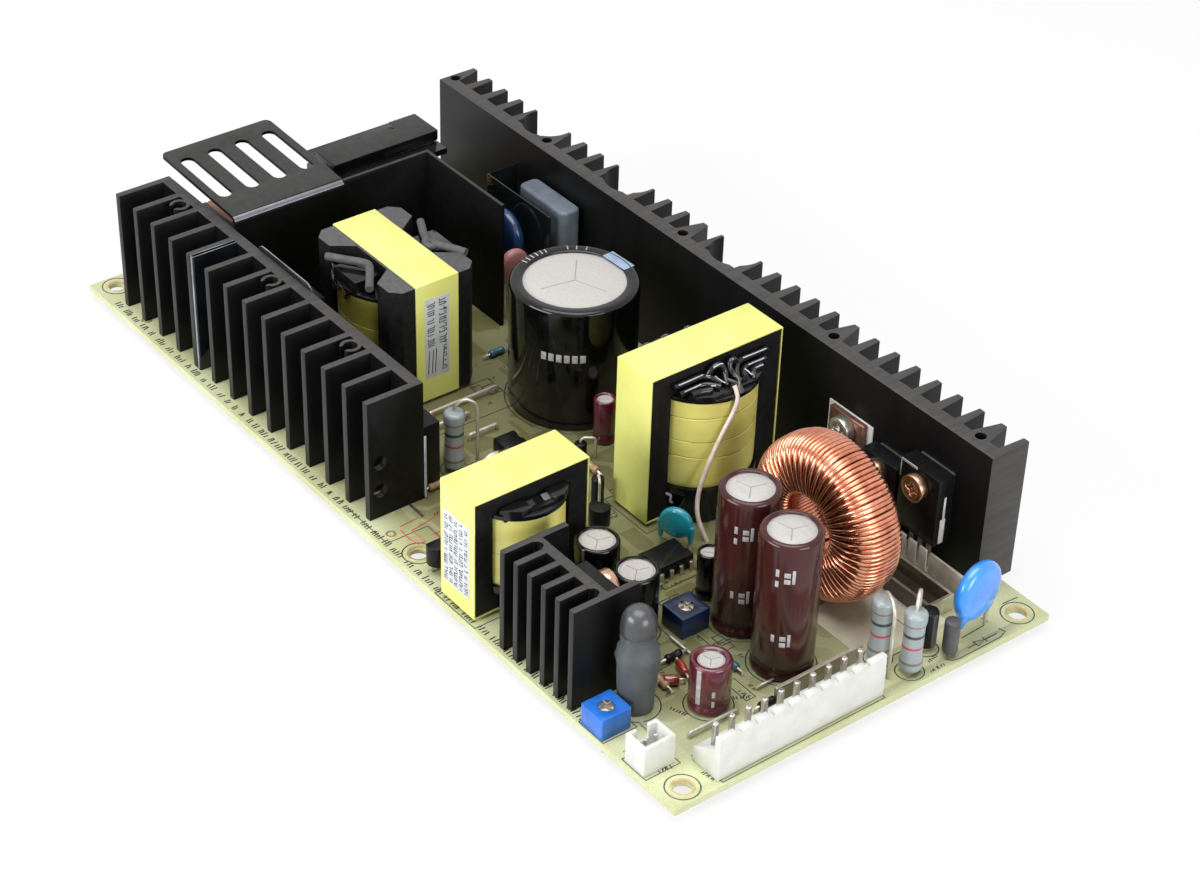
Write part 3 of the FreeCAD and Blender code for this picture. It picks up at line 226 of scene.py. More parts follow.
def worked_copy(node, width, segments, merge_flats, lid, trim):
    piece = bpy.data.objects.new(node + "_worked", nodes[node].data.copy())
    scene.collection.objects.link(piece)
    if lid:
        for spot in piece.data.vertices:
            spot.co.z = min(spot.co.z, lid * MM)
    pick_up(piece)
    bpy.ops.object.mode_set(mode="EDIT")
    bpy.ops.mesh.select_all(action="SELECT")
    bpy.ops.mesh.remove_doubles(threshold=0.000001)
    if merge_flats:
        bpy.ops.mesh.dissolve_limited(angle_limit=math.radians(0.4))
    bpy.ops.object.mode_set(mode="OBJECT")
    if trim:
        trim_round(piece, *trim)
    round_edges(piece, width, segments)
    smooth(piece, 38)
    return piece


def trim_round(piece, x, y, radius):
    start_clean()
    bpy.ops.mesh.primitive_cylinder_add(vertices=96, radius=radius * MM, depth=0.1,
                                        location=(x * MM, y * MM, 0.02))
    cutter = bpy.context.object
    cut = piece.modifiers.new("round_trim", "BOOLEAN")
    cut.operation = "INTERSECT"
    cut.object = cutter
    bake_steps(piece)
    bpy.data.objects.remove(cutter)


def softened(node, finish, width, segments=2, body="supply", merge_flats=True, slot=None,
             lid=None, trim=None):
    """The node's own form with soft edges; lid is a level that cuts it flat, trim a circle."""
    return fit(worked_copy(node, width, segments, merge_flats, lid, trim), finish, node,
               body=body, slot=slot)


def traced(name, points):
    start_clean()
    points = [Vector(point) for point in points]
    bpy.ops.mesh.primitive_plane_add(size=MM, location=points[0])
    piece = bpy.context.object
    piece.name = name
    bpy.ops.object.transform_apply(location=True, rotation=True, scale=True)
    bpy.ops.object.mode_set(mode="EDIT")
    bpy.ops.mesh.select_all(action="SELECT")
    bpy.ops.mesh.merge(type="CENTER")
    for here, there in zip(points, points[1:]):
        bpy.ops.mesh.extrude_region_move(TRANSFORM_OT_translate={"value": there - here})
    return piece


def spun(name, profile, x, y, steps=48):
    piece = traced(name, [((x + radius) * MM, y * MM, z * MM) for radius, z in profile])
    bpy.ops.mesh.select_all(action="SELECT")
    bpy.ops.mesh.spin(steps=steps, angle=2 * math.pi, center=(x * MM, y * MM, 0), axis=(0, 0, 1))
    bpy.ops.mesh.select_all(action="SELECT")
    bpy.ops.mesh.remove_doubles(threshold=0.000002)
    bpy.ops.mesh.normals_make_consistent(inside=False)
    bpy.ops.object.mode_set(mode="OBJECT")
    return piece


def arc(radius, z, bend, start, end, steps=5):
    turns = [math.radians(start + (end - start) * step / steps) for step in range(steps + 1)]
    return [(radius + bend * math.cos(turn), z + bend * math.sin(turn)) for turn in turns]


def round_wire(name, runs, radius, detail=4, sides=2, order=3):
    curve = bpy.data.curves.new(name, "CURVE")
    curve.dimensions = "3D"
    curve.resolution_u = detail
    curve.bevel_depth = radius * MM
    curve.bevel_resolution = sides
    curve.use_fill_caps = True
    for points in runs:
        line = curve.splines.new("POLY" if order == 2 else "NURBS")
        line.points.add(len(points) - 1)
        for spot, place in zip(line.points, points):
            spot.co = (*[value * MM for value in place], 1)
        if order > 2:
            line.order_u = min(order, len(points))
            line.use_endpoint_u = True
    piece = bpy.data.objects.new(name, curve)
    scene.collection.objects.link(piece)
    pick_up(piece)
    bpy.ops.object.convert(target="MESH")
    piece = bpy.context.object
    smooth(piece, 60)
    return piece


def lay_wires(name, finish, runs, radius, detail=4, sides=2, order=3, stands_for=(), slot=None):
    fit(round_wire(name, runs, radius, detail, sides, order), finish, *stands_for, slot=slot)


def print_lines(name, finish, runs, radius, slot="board"):
    lay_wires(name, finish, runs, radius, 1, 0, 2, slot=slot)


def slab(name, x0, x1, y0, y1, z0, z1, width=0.1):
    start_clean()
    middle = Vector((x0 + x1, y0 + y1, z0 + z1)) / 2 * MM
    bpy.ops.mesh.primitive_cube_add(size=MM, location=middle)
    piece = bpy.context.object
    piece.name = name
    piece.scale = (x1 - x0, y1 - y0, z1 - z0)
    bpy.ops.object.transform_apply(location=True, rotation=True, scale=True)
    round_edges(piece, width)
    smooth(piece)
    return piece


def turn_piece(piece, angle, axis, x, y, z):
    place = Vector((x, y, z)) * MM
    turn = Matrix.Translation(place) @ Matrix.Rotation(math.radians(angle), 4, axis)
    piece.data.transform(turn)


def on_circle(centre, radius, degrees):
    turn = math.radians(degrees)
    return centre[0] + radius * math.cos(turn), centre[1] + radius * math.sin(turn)


def give_faces(piece, finish, chosen):
    """Another finish for the faces that chosen(normal, place) picks."""
    piece.data.materials.append(finishes[finish])
    for face in piece.data.polygons:
        if chosen(face.normal, face.center / MM):
            face.material_index = len(piece.data.materials) - 1


def box_of(node):
    return [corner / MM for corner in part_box(node)]


# Finishes, all on Object coordinates

def add_node(tree, kind, sockets, **settings):
    node = tree.nodes.new("ShaderNode" + kind)
    for name, value in settings.items():
        setattr(node, name, value)
    for socket, value in sockets.items():
        if isinstance(value, bpy.types.NodeSocket):
            tree.links.new(value, node.inputs[socket])
        else:
            node.inputs[socket].default_value = value
    return node


def add_maths(tree, operation, *values):
    node = add_node(tree, "Math", dict(enumerate(values)), operation=operation)
    return node.outputs["Value"]


def new_finish(name, rough, metal=0.0, coat=0.0, gloss=0.5):
    material = bpy.data.materials.new(name)
    material.use_nodes = True
    shader = material.node_tree.nodes["Principled BSDF"]
    for socket, value in (("Roughness", rough), ("Metallic", metal), ("Coat Weight", coat),
                          ("Coat Roughness", 0.08), ("Specular IOR Level", gloss)):
        shader.inputs[socket].default_value = value
    return material


def object_place(tree, scale=(1, 1, 1)):
    place = tree.nodes.new("ShaderNodeTexCoord")
    return add_node(tree, "Mapping", {"Vector": place.outputs["Object"],
                                      "Scale": scale}).outputs["Vector"]


def speckle(tree, where, grain, detail=3.0):
    return add_node(tree, "TexNoise", {"Vector": where, "Scale": grain,
                                       "Detail": detail}).outputs["Fac"]


def blend_colours(tree, amount, stops, steps=False):
    ramp = add_node(tree, "ValToRGB", {"Fac": amount})
    ramp.color_ramp.interpolation = "CONSTANT" if steps else "LINEAR"
    marks = ramp.color_ramp.elements
    while len(marks) < len(stops):
        marks.new(0.5)
    for mark, (place, colour) in zip(marks, stops):
        mark.position = place
        mark.color = (*colour, 1)
    return ramp.outputs["Color"]


def colour_with(tree, colour):
    tree.links.new(colour, tree.nodes["Principled BSDF"].inputs["Base Color"])


def roughen(tree, height, depth, strength=0.4):
    bump = add_node(tree, "Bump", {"Height": height, "Strength": strength, "Distance": depth})
    tree.links.new(bump.outputs["Normal"], tree.nodes["Principled BSDF"].inputs["Normal"])


def share_between(tree, value, low, high):
    level = add_node(tree, "MapRange", {"Value": value, "From Min": low, "From Max": high})
    return level.outputs["Result"]


def mottled(name, dark, light, grain, rough, metal=0.0, coat=0.0, gloss=0.5, depth=0,
            scale=(1, 1, 1), bump_grain=None):
    material = new_finish(name, rough, metal, coat, gloss)
    tree = material.node_tree
    where = object_place(tree, scale)
    amount = speckle(tree, where, grain)
    colour_with(tree, blend_colours(tree, amount, [(0.3, dark), (0.7, light)]))
    if depth:
        roughen(tree, speckle(tree, where, bump_grain or 3 * grain, 4.0), depth * MICRON)
    return material


def banded_resistor(name, low_z, length):
    material = new_finish(name, 0.32, coat=0.4)
    tree = material.node_tree
    where = object_place(tree)
    height = add_node(tree, "SeparateXYZ", {"Vector": where}).outputs["Z"]
    grey = (0.30, 0.35, 0.36)
    stops = [(0.0, grey), (0.14, (0.20, 0.15, 0.12)), (0.18, grey), (0.40, (0.45, 0.05, 0.07)),
             (0.44, grey), (0.60, (0.035, 0.045, 0.055)), (0.65, grey), (0.80, (0.28, 0.13, 0.12)),
             (0.83, grey)]
    colour_with(tree, blend_colours(tree, share_between(tree, height, low_z, low_z + length),
                                    stops, True))
    roughen(tree, speckle(tree, where, 900), 60 * MICRON, 0.3)
    return material


def board_finish():
    """Laminate: weave, stains, painted shade in the middle and darker tracks under the lacquer."""
    material = new_finish("board_laminate", 0.42, gloss=0.35)
    tree = material.node_tree
    where = object_place(tree)
    weave = speckle(tree, where, 1900)
    cloud = speckle(tree, where, 42, 2.0)
    split = add_node(tree, "SeparateXYZ", {"Vector": where})
    # The middle is darkened as painted shade of the tall parts; it fades out towards the board's
    # edges.
    inside = [share_between(tree, add_maths(tree, "ABSOLUTE", split.outputs[side]), edge, dark)
              for side, edge, dark in (("X", 0.104, 0.074), ("Y", 0.0455, 0.031))]
    middle = add_maths(tree, "MULTIPLY", *inside)
    near, far = (add_node(tree, "TexVoronoi", {"Vector": where, "Scale": 105}, feature=feature,
                          distance="CHEBYCHEV") for feature in ("F1", "F2"))
    gap = add_maths(tree, "SUBTRACT", far.outputs["Distance"], near.outputs["Distance"])
    filled = blend_colours(tree, gap, [(0.09, BLACK), (0.11, WHITE)])
    chosen = blend_colours(tree, near.outputs["Color"], [(0.22, BLACK), (0.24, WHITE)])
    # The tracks are a pattern of the board, but they show only inside the painted shade of the
    # middle and scale with it.
    track = add_maths(tree, "MULTIPLY", add_maths(tree, "MULTIPLY", middle, filled), chosen)
    colour = blend_colours(tree, weave, [(0.25, (0.58, 0.62, 0.38)), (0.75, (0.70, 0.74, 0.48))])
    # Tints multiplied in turn: stains, the painted shade of the middle, and the tracks.
    for amount, start, dark, end, light in ((cloud, 0.35, (0.82, 0.79, 0.68), 0.65, WHITE),
                                            (middle, 0.0, WHITE, 1.0, (0.36, 0.34, 0.27)),
                                            (track, 0.0, WHITE, 1.0, (0.68, 0.68, 0.57))):
        tint = blend_colours(tree, amount, [(start, dark), (end, light)])
        colour = add_node(tree, "Mix", {"Factor": 1.0, "A": colour, "B": tint}, data_type="RGBA",
                          blend_type="MULTIPLY").outputs["Result"]
    colour_with(tree, colour)
    roughen(tree, weave, 30 * MICRON, 0.25)
    return material


# Name, dark and light colour, grain, roughness and what else differs; depths are in microns
MOTTLED = (
    ("solder", (0.5, 0.5, 0.48), (0.75, 0.75, 0.73), 700, 0.25, dict(metal=1.0, depth=60)),
    ("black_anodised", (0.0035, 0.0035, 0.0038), (0.006, 0.006, 0.0063), 260, 0.4,
     dict(gloss=0.14, depth=15, scale=(1, 1, 0.12), bump_grain=1800)),
    # painted light: lighter grey for the heat sinks' up faces and the long sink's far end
    ("painted_lit_face", (0.046, 0.044, 0.042), (0.066, 0.063, 0.06), 900, 0.5,
     dict(gloss=0.2, depth=30, scale=(1, 0.15, 1))),
    # painted light: lighter grey for the sinks' front fin tips
    ("painted_lit_fin_tip", (0.018, 0.018, 0.018), (0.03, 0.03, 0.03), 700, 0.45,
     dict(gloss=0.2, depth=20, scale=(1, 1, 0.15))),
    ("screen_black", (0.0022, 0.0024, 0.0023), (0.0042, 0.0044, 0.0042), 420, 0.45,
     dict(gloss=0.1, depth=30)),
    # painted light: lighter grey for up faces of the screen and the line filter's top
    ("painted_lit_top", (0.027, 0.0265, 0.0255), (0.04, 0.039, 0.0375), 620, 0.5,
     dict(gloss=0.2, depth=30)),
    # painted sheen: bluish grey for the screen's bend and the line filter's step
    ("painted_sheen", (0.07, 0.074, 0.09), (0.11, 0.115, 0.14), 300, 0.28, dict(gloss=0.6, depth=20)),
    ("ferrite", (0.0055, 0.0055, 0.006), (0.012, 0.012, 0.013), 600, 0.5,
     dict(gloss=0.15, depth=40)),
    # painted light: lighter grey for the boost core's top and the bobbin arms
    ("painted_lit_grey", (0.075, 0.075, 0.077), (0.105, 0.105, 0.108), 800, 0.5,
     dict(gloss=0.2, depth=40)),
    ("bobbin_black", (0.0035, 0.0035, 0.004), (0.008, 0.008, 0.009), 300, 0.2,
     dict(coat=0.25, gloss=0.3, depth=40)),
    ("shiny_black", (0.004, 0.004, 0.0045), (0.008, 0.008, 0.009), 300, 0.2,
     dict(coat=0.35, gloss=0.35, depth=40)),
    ("yellow_tape", (0.76, 0.77, 0.21), (0.84, 0.85, 0.27), 120, 0.42,
     dict(gloss=0.3, depth=30, bump_grain=170)),
    ("winding_yellow", (0.8, 0.73, 0.18), (0.9, 0.85, 0.26), 90, 0.34,
     dict(coat=0.15, depth=80, scale=(1, 1, 2.5), bump_grain=140)),
    # painted shade: the yellow winding tape darkened to olive
    ("winding_olive", (0.24, 0.21, 0.035), (0.36, 0.32, 0.06), 110, 0.38,
     dict(coat=0.1, depth=80, scale=(1, 1, 2.5), bump_grain=140)),
    # painted shade: darker yellow for faces sunk into the tape's creases
    ("painted_crease_shade", (0.44, 0.38, 0.08), (0.58, 0.52, 0.13), 300, 0.5, dict(gloss=0.2)),
    ("copper", (0.52, 0.17, 0.085), (0.8, 0.36, 0.23), 420, 0.2, dict(metal=0.95, coat=0.5)),
    ("white_sleeve", (0.62, 0.5, 0.44), (0.8, 0.7, 0.64), 500, 0.3, dict(coat=0.3)),
    ("can_aluminium", (0.48, 0.46, 0.43), (0.54, 0.52, 0.49), 1500, 0.5,
     dict(metal=0.1, gloss=0.3, depth=50, bump_grain=700)),
    # painted shade: darker grey for the vent grooves in the can tops
    ("vent_painted_shade", (0.26, 0.25, 0.24), (0.34, 0.33, 0.31), 900, 0.5, dict(metal=0.1)),
    ("patch_blue", (0.22, 0.3, 0.44), (0.32, 0.42, 0.58), 300, 0.4, {}),
    ("sleeve_black", (0.0022, 0.0024, 0.0026), (0.0045, 0.0048, 0.0052), 200, 0.13,
     dict(coat=0.4, gloss=0.15, depth=50)),
    ("sleeve_brown", (0.04, 0.0092, 0.0085), (0.066, 0.017, 0.015), 200, 0.15,
     dict(coat=0.22, gloss=0.22, depth=50, scale=(1, 1, 0.2))),
    ("sleeve_red", (0.075, 0.0065, 0.018), (0.13, 0.013, 0.032), 240, 0.2,
     dict(coat=0.5, depth=50, scale=(1, 1, 0.3))),
    ("ivory_plastic", (0.62, 0.63, 0.59), (0.7, 0.71, 0.67), 300, 0.42, dict(gloss=0.3, depth=30)),
    ("label_white", (0.56, 0.58, 0.6), (0.64, 0.66, 0.68), 400, 0.5, dict(gloss=0.2)),
    # painted highlights for glints on edges and leads, and the colour of white flecks
    ("painted_glint_and_white_fleck", (0.42, 0.45, 0.5), (0.62, 0.66, 0.72), 500, 0.3, {}),
    ("diode_grey", (0.05, 0.05, 0.052), (0.085, 0.085, 0.088), 500, 0.4, dict(depth=30)),
    ("resistor_blue", (0.03, 0.1, 0.16), (0.055, 0.16, 0.23), 300, 0.32, {}),
    ("print_beige", (0.56, 0.51, 0.38), (0.64, 0.59, 0.46), 400, 0.5, {}),
    ("resistor_tan", (0.36, 0.22, 0.11), (0.48, 0.31, 0.17), 300, 0.35, {}),
    ("tinned", (0.48, 0.46, 0.41), (0.72, 0.7, 0.64), 500, 0.28, dict(metal=0.9, depth=30)),
    ("dull_metal", (0.24, 0.21, 0.17), (0.42, 0.38, 0.32), 260, 0.45,
     dict(metal=0.8, depth=50, scale=(1, 1, 0.4))),
    ("brown_plastic", (0.03, 0.022, 0.014), (0.06, 0.046, 0.03), 260, 0.22,
     dict(coat=0.4, depth=50)),
    ("lead_cream", (0.46, 0.43, 0.36), (0.66, 0.62, 0.54), 420, 0.35, dict(metal=0.5, depth=30)),
    ("blue_case", (0.012, 0.12, 0.5), (0.025, 0.18, 0.66), 350, 0.32, dict(coat=0.2, depth=40)),
    ("dark_blue_case", (0.002, 0.01, 0.042), (0.004, 0.02, 0.08), 350, 0.3,
     dict(coat=0.2, depth=40)),
    ("epoxy_black", (0.004, 0.004, 0.0045), (0.0085, 0.0085, 0.009), 700, 0.34,
     dict(gloss=0.2, depth=30)),
    ("screw_brass", (0.42, 0.24, 0.15), (0.68, 0.46, 0.33), 600, 0.26, dict(metal=1.0)),
    ("pad_grey", (0.5, 0.5, 0.49), (0.68, 0.68, 0.67), 380, 0.5, dict(depth=40)),
    ("blue_coat", (0.022, 0.22, 0.78), (0.045, 0.32, 0.92), 260, 0.2, dict(coat=0.6, depth=60)),
    ("navy_coat", (0.008, 0.028, 0.085), (0.014, 0.045, 0.13), 260, 0.25,
     dict(coat=0.4, depth=60)),
    ("pink_coat", (0.42, 0.17, 0.16), (0.54, 0.26, 0.24), 260, 0.35, dict(depth=60)),
    ("teal_coat", (0.006, 0.26, 0.36), (0.018, 0.38, 0.48), 260, 0.2, dict(coat=0.6, depth=60)),
    ("film_grey_blue", (0.11, 0.135, 0.165), (0.17, 0.2, 0.235), 240, 0.34,
     dict(gloss=0.3, depth=50)),
    ("film_clear_grey", (0.0045, 0.006, 0.007), (0.012, 0.016, 0.018), 160, 0.1,
     dict(coat=0.2, gloss=0.35, depth=80, bump_grain=240)),
    # painted highlight: paler grey for the films' top edges and front faces
    ("painted_film_highlight", (0.06, 0.072, 0.08), (0.3, 0.33, 0.35), 150, 0.25, dict(coat=0.3)),
    ("shrink_grey", (0.07, 0.078, 0.084), (0.105, 0.115, 0.122), 220, 0.42,
     dict(gloss=0.3, depth=120, bump_grain=420)),
    ("choke_head", (0.034, 0.036, 0.04), (0.054, 0.057, 0.062), 300, 0.34, dict(coat=0.25)),
    ("tab_pink", (0.15, 0.07, 0.05), (0.3, 0.16, 0.12), 420, 0.32, dict(metal=0.6)),
    ("glass_red", (0.22, 0.01, 0.008), (0.36, 0.03, 0.018), 500, 0.12, dict(coat=0.8)),
    ("fuse_brown", (0.16, 0.05, 0.03), (0.28, 0.09, 0.05), 380, 0.35, {}),
    ("box_blue_grey", (0.04, 0.05, 0.065), (0.065, 0.08, 0.1), 240, 0.35, dict(depth=40)),
    ("print_black", (0.018, 0.02, 0.018), (0.05, 0.055, 0.045), 1500, 0.5, {}),
    ("print_red", (0.48, 0.055, 0.04), (0.62, 0.12, 0.09), 1500, 0.5, {}),
    ("pad_gold", (0.58, 0.46, 0.2), (0.76, 0.64, 0.34), 900, 0.35, dict(metal=0.7)),
    ("sleeve_print", (0.34, 0.33, 0.34), (0.52, 0.51, 0.52), 900, 0.4, {}),
    ("pale_streak", (0.55, 0.53, 0.5), (0.74, 0.73, 0.71), 700, 0.4, dict(depth=100)),
)
finishes = {name: mottled(name, dark, light, grain, rough, **more)
            for name, dark, light, grain, rough, more in MOTTLED}
finishes["board"] = board_finish()
finishes["resistor_grey"] = banded_resistor("resistor_body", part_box("circuit_board")[1].z + MM,
                                            14 * MM)


# Extruded heat sinks and the folded screen

def finish_heat_sinks():
    for node in ("left_heat_sink", "long_heat_sink", "small_heat_sink"):
        low, high = box_of(node)
        sink = softened(node, "black_anodised", 0.16)
        # Up faces of each sink, and the long sink's far end, take a lighter grey: painted light.
        give_faces(sink, "painted_lit_face", lambda normal, place: normal.z > SQUARE_ON)
        if node == "long_heat_sink":
            give_faces(sink, "painted_lit_face",
                       lambda normal, place: normal.x > 0.8 and place.x > high.x - 1)
        else:
            # Faces at the front that look along -Y take a lighter grey: painted light.
            give_faces(sink, "painted_lit_fin_tip",
                       lambda normal, place: normal.y < -SQUARE_ON and place.y < low.y + 1)
    screen = softened("insulating_screen", "screen_black", 0.22)
    # The screen's up faces take a lighter grey: painted light.
    give_faces(screen, "painted_lit_top", lambda normal, place: normal.z > 0.95)
    # The faces of the screen's bend take a bluish grey: painted sheen.
    give_faces(screen, "painted_sheen",
               lambda normal, place: 0.35 < normal.z <= SQUARE_ON and normal.x > 0.2)
    for node in ("fin_film", "device_back_sheet"):
        film = softened(node, "film_clear_grey", 0.05, 1)
        # Up faces and the front faces take a paler grey: painted highlight.
        give_faces(film, "painted_film_highlight", lambda normal, place: normal.z > 0.5 or
                   normal.y < -SQUARE_ON and place.y < -40)
    softened("insulating_film", "film_clear_grey", 0.1)
    softened("insulating_pad", "pad_grey", 0.08)
    # Two pale strips down the side of the device on the long sink.
    streaks = [slab("streak", 85.5, 85.72, 37.8, 39.2, 9.4, 15.4, 0.09),
              slab("streak", 85.5, 85.72, 38.3, 38.9, 15.0, 20.8, 0.09)]
    fit(gather("pale_streaks", streaks), "pale_streak", slot="pad_grey")
    # Thin pale slabs on the edges of the device on the long sink, and one upright by the left sink:
    # painted highlights.
    glints = [slab("glint", 74.7, 79.2, 36.38, 36.6, 24.7, 25.3, 0.09),
              slab("glint", 74.5, 74.75, 36.38, 36.6, 20.8, 25.0, 0.09),
              slab("glint", 4.25, 4.6, -31.42, -30.9, 1.9, 17.4, 0.06)]
    fit(gather("edge_glints", glints), "painted_glint_and_white_fleck", slot="pad_grey")


# Transformers and the boost choke

def taped_drum(name, node, finish, x, y, radius, creases):
    low, high = (corner.z for corner in box_of(node))
    levels = [(0.03, 0.12), (0.08, 0.02), (0.5, 0.0), (0.92, 0.02), (0.97, 0.12)]
    for crease in creases:
        levels += [(crease - 0.022, 0.0), (crease - 0.004, 0.02), (crease, 0.13),
                   (crease + 0.008, 0.13), (crease + 0.014, 0.0), (crease + 0.06, -0.03)]
    levels.sort()
    profile = [(radius - 4, low), (radius - 0.5, low)]
    profile += [(radius - 0.1 - dip, low + share * (high - low)) for share, dip in levels]
    profile += [(radius - 0.5, high), (radius - 4, high)]
    drum = spun(name, profile, x, y, 72)
    for spot in drum.data.vertices:
        side = Vector((spot.co.x - x * MM, spot.co.y - y * MM, 0))
        around = math.atan2(side.y, side.x)
        share = (spot.co.z / MM - low) / (high - low)
        if 0.05 < share < 0.95:
            spot.co.z += 0.42 * MM * math.sin(around + 9 * share) * math.sin(math.pi * share)
            spot.co += side.normalized() * 0.02 * MM * (math.sin(5 * around + 14 * share) - 1)
    smooth(drum, 40)
    fit(drum, finish, node)
    # Faces sunk into the creases take a darker yellow: painted shade.
    give_faces(drum, "painted_crease_shade", lambda normal, place: low + 2 < place.z < high - 2
               and math.hypot(place.x - x, place.y - y) < radius - 0.22)


def print_marks(name, spots, finish, slot, facing):
    marks = []
    for across, level, width, tall in spots:
        mark = slab(name, -0.03, 0.03, -width / 2, width / 2, -tall / 2, tall / 2, 0.02)
        angle, x, y = facing(across)
        turn_piece(mark, angle, "Z", x, y, level)
        marks.append(mark)
    fit(gather(name, marks), finish, slot=slot)


def stroke_rows(rows, start, end, tall, on_label):
    strokes = []
    for row in rows:
        place = start
        while place < end:
            top = row + tall * random.uniform(0.75, 1.0)
            foot = on_label(row, place + random.uniform(-0.12, 0.12))
            strokes.append([foot, on_label(top, place)])
            if random.random() < 0.6:
                side = random.choice((row, top))
                strokes.append([on_label(side, place), on_label(side, place + 0.42)])
            place += random.choice((0.5, 0.62, 0.75, 1.3))
    return strokes


def finish_transformers():
    core = softened("boost_choke_core", "ferrite", 0.3)
    # The boost core's top faces take a lighter grey: painted light.
    give_faces(core, "painted_lit_grey",
               lambda normal, place: normal.z > SQUARE_ON and place.z > 30)
    softened("main_transformer_core", "ferrite", 0.3)
    softened("control_transformer_core", "ferrite", 0.3)
    for name in ("boost_choke", "main_transformer", "control_transformer"):
        softened(name + "_tape", "yellow_tape", 0.12)
    softened("boost_choke_bobbin", "bobbin_black", 0.15, lid=30.6)
    softened("main_transformer_bobbin", "bobbin_black", 0.12, lid=33.25,
             trim=(*MAIN_TRANSFORMER, 12.75))
    softened("control_transformer_bobbin", "bobbin_black", 0.12,
             trim=(*CONTROL_TRANSFORMER, 10.55))
    # The bobbin's arms as round rods in the same painted lit grey.
    lay_wires("boost_arms", "painted_lit_grey", [
        [(-45.9, -22.2, 32.2), (-42.1, -19.5, 32.2), (-39.2, -17.0, 32.2), (-37.4, -16.6, 32.2),
         (-35.1, -18.0, 32.2), (-32.4, -19.9, 32.0), (-30.2, -21.4, 31.6)],
        [(-46.0, 2.6, 32.2), (-43.6, 1.4, 32.2), (-41.3, 0.2, 32.2), (-38.2, -0.9, 32.2)],
        [(-36.9, -0.6, 32.2), (-34.4, 1.0, 32.2), (-32.0, 2.4, 32.2), (-29.7, 3.4, 32.2)],
        [(-38.5, -1.3, 32.2), (-37.0, -2.0, 31.9), (-35.9, -0.9, 32.0), (-36.6, 0.3, 32.0),
         (-38.0, -0.2, 31.9), (-38.5, -1.3, 32.2)]], 0.92, 6, 3, slot="ferrite")
    taped_drum("main_taped_winding", "main_transformer_winding", "winding_yellow",
               *MAIN_TRANSFORMER, 12.35, (0.34, 0.55, 0.80))
    taped_drum("control_taped_winding", "control_transformer_winding", "winding_yellow",
               *CONTROL_TRANSFORMER, 10.15, (0.48,))
    # The boost choke's winding is the same yellow tape, darkened as painted shade.
    taped_drum("boost_taped_winding", "boost_choke_winding", "winding_olive", *BOOST_CHOKE,
               12.9, (0.3, 0.6))


def stick_labels():
    fit(slab("boost_label", -23.42, -23.33, -11.9, -5.6, 8.2, 28.6, 0.04), "label_white",
        slot="ivory_plastic")
    strokes = stroke_rows((-11.2, -8.2), 16.6, 27.6, 1.9, lambda row, place: (-23.31, row, place))
    strokes += [[(-23.31, row, 9.4), (-23.31, row + 0.4, 15.4)]
                for row in (-11.2, -10.2, -9.4, -7.4)]
    strokes += stroke_rows((-7.0,), 9.6, 27.6, 0.7, lambda row, place: (-23.31, row, place))
    print_lines("boost_label_marks", "print_black", strokes, 0.11)
    fit(slab("control_label", 33.6, 42.4, -47.02, -46.92, 6.6, 24.2, 0.04), "label_white",
        slot="ivory_plastic")
    strokes = stroke_rows((34.2, 35.9, 37.5, 39.2, 40.9), 7.4, 23.4, 1.1,
                          lambda row, place: (row, -47.04, place))
    print_lines("control_label_marks", "print_black", strokes, 0.085)


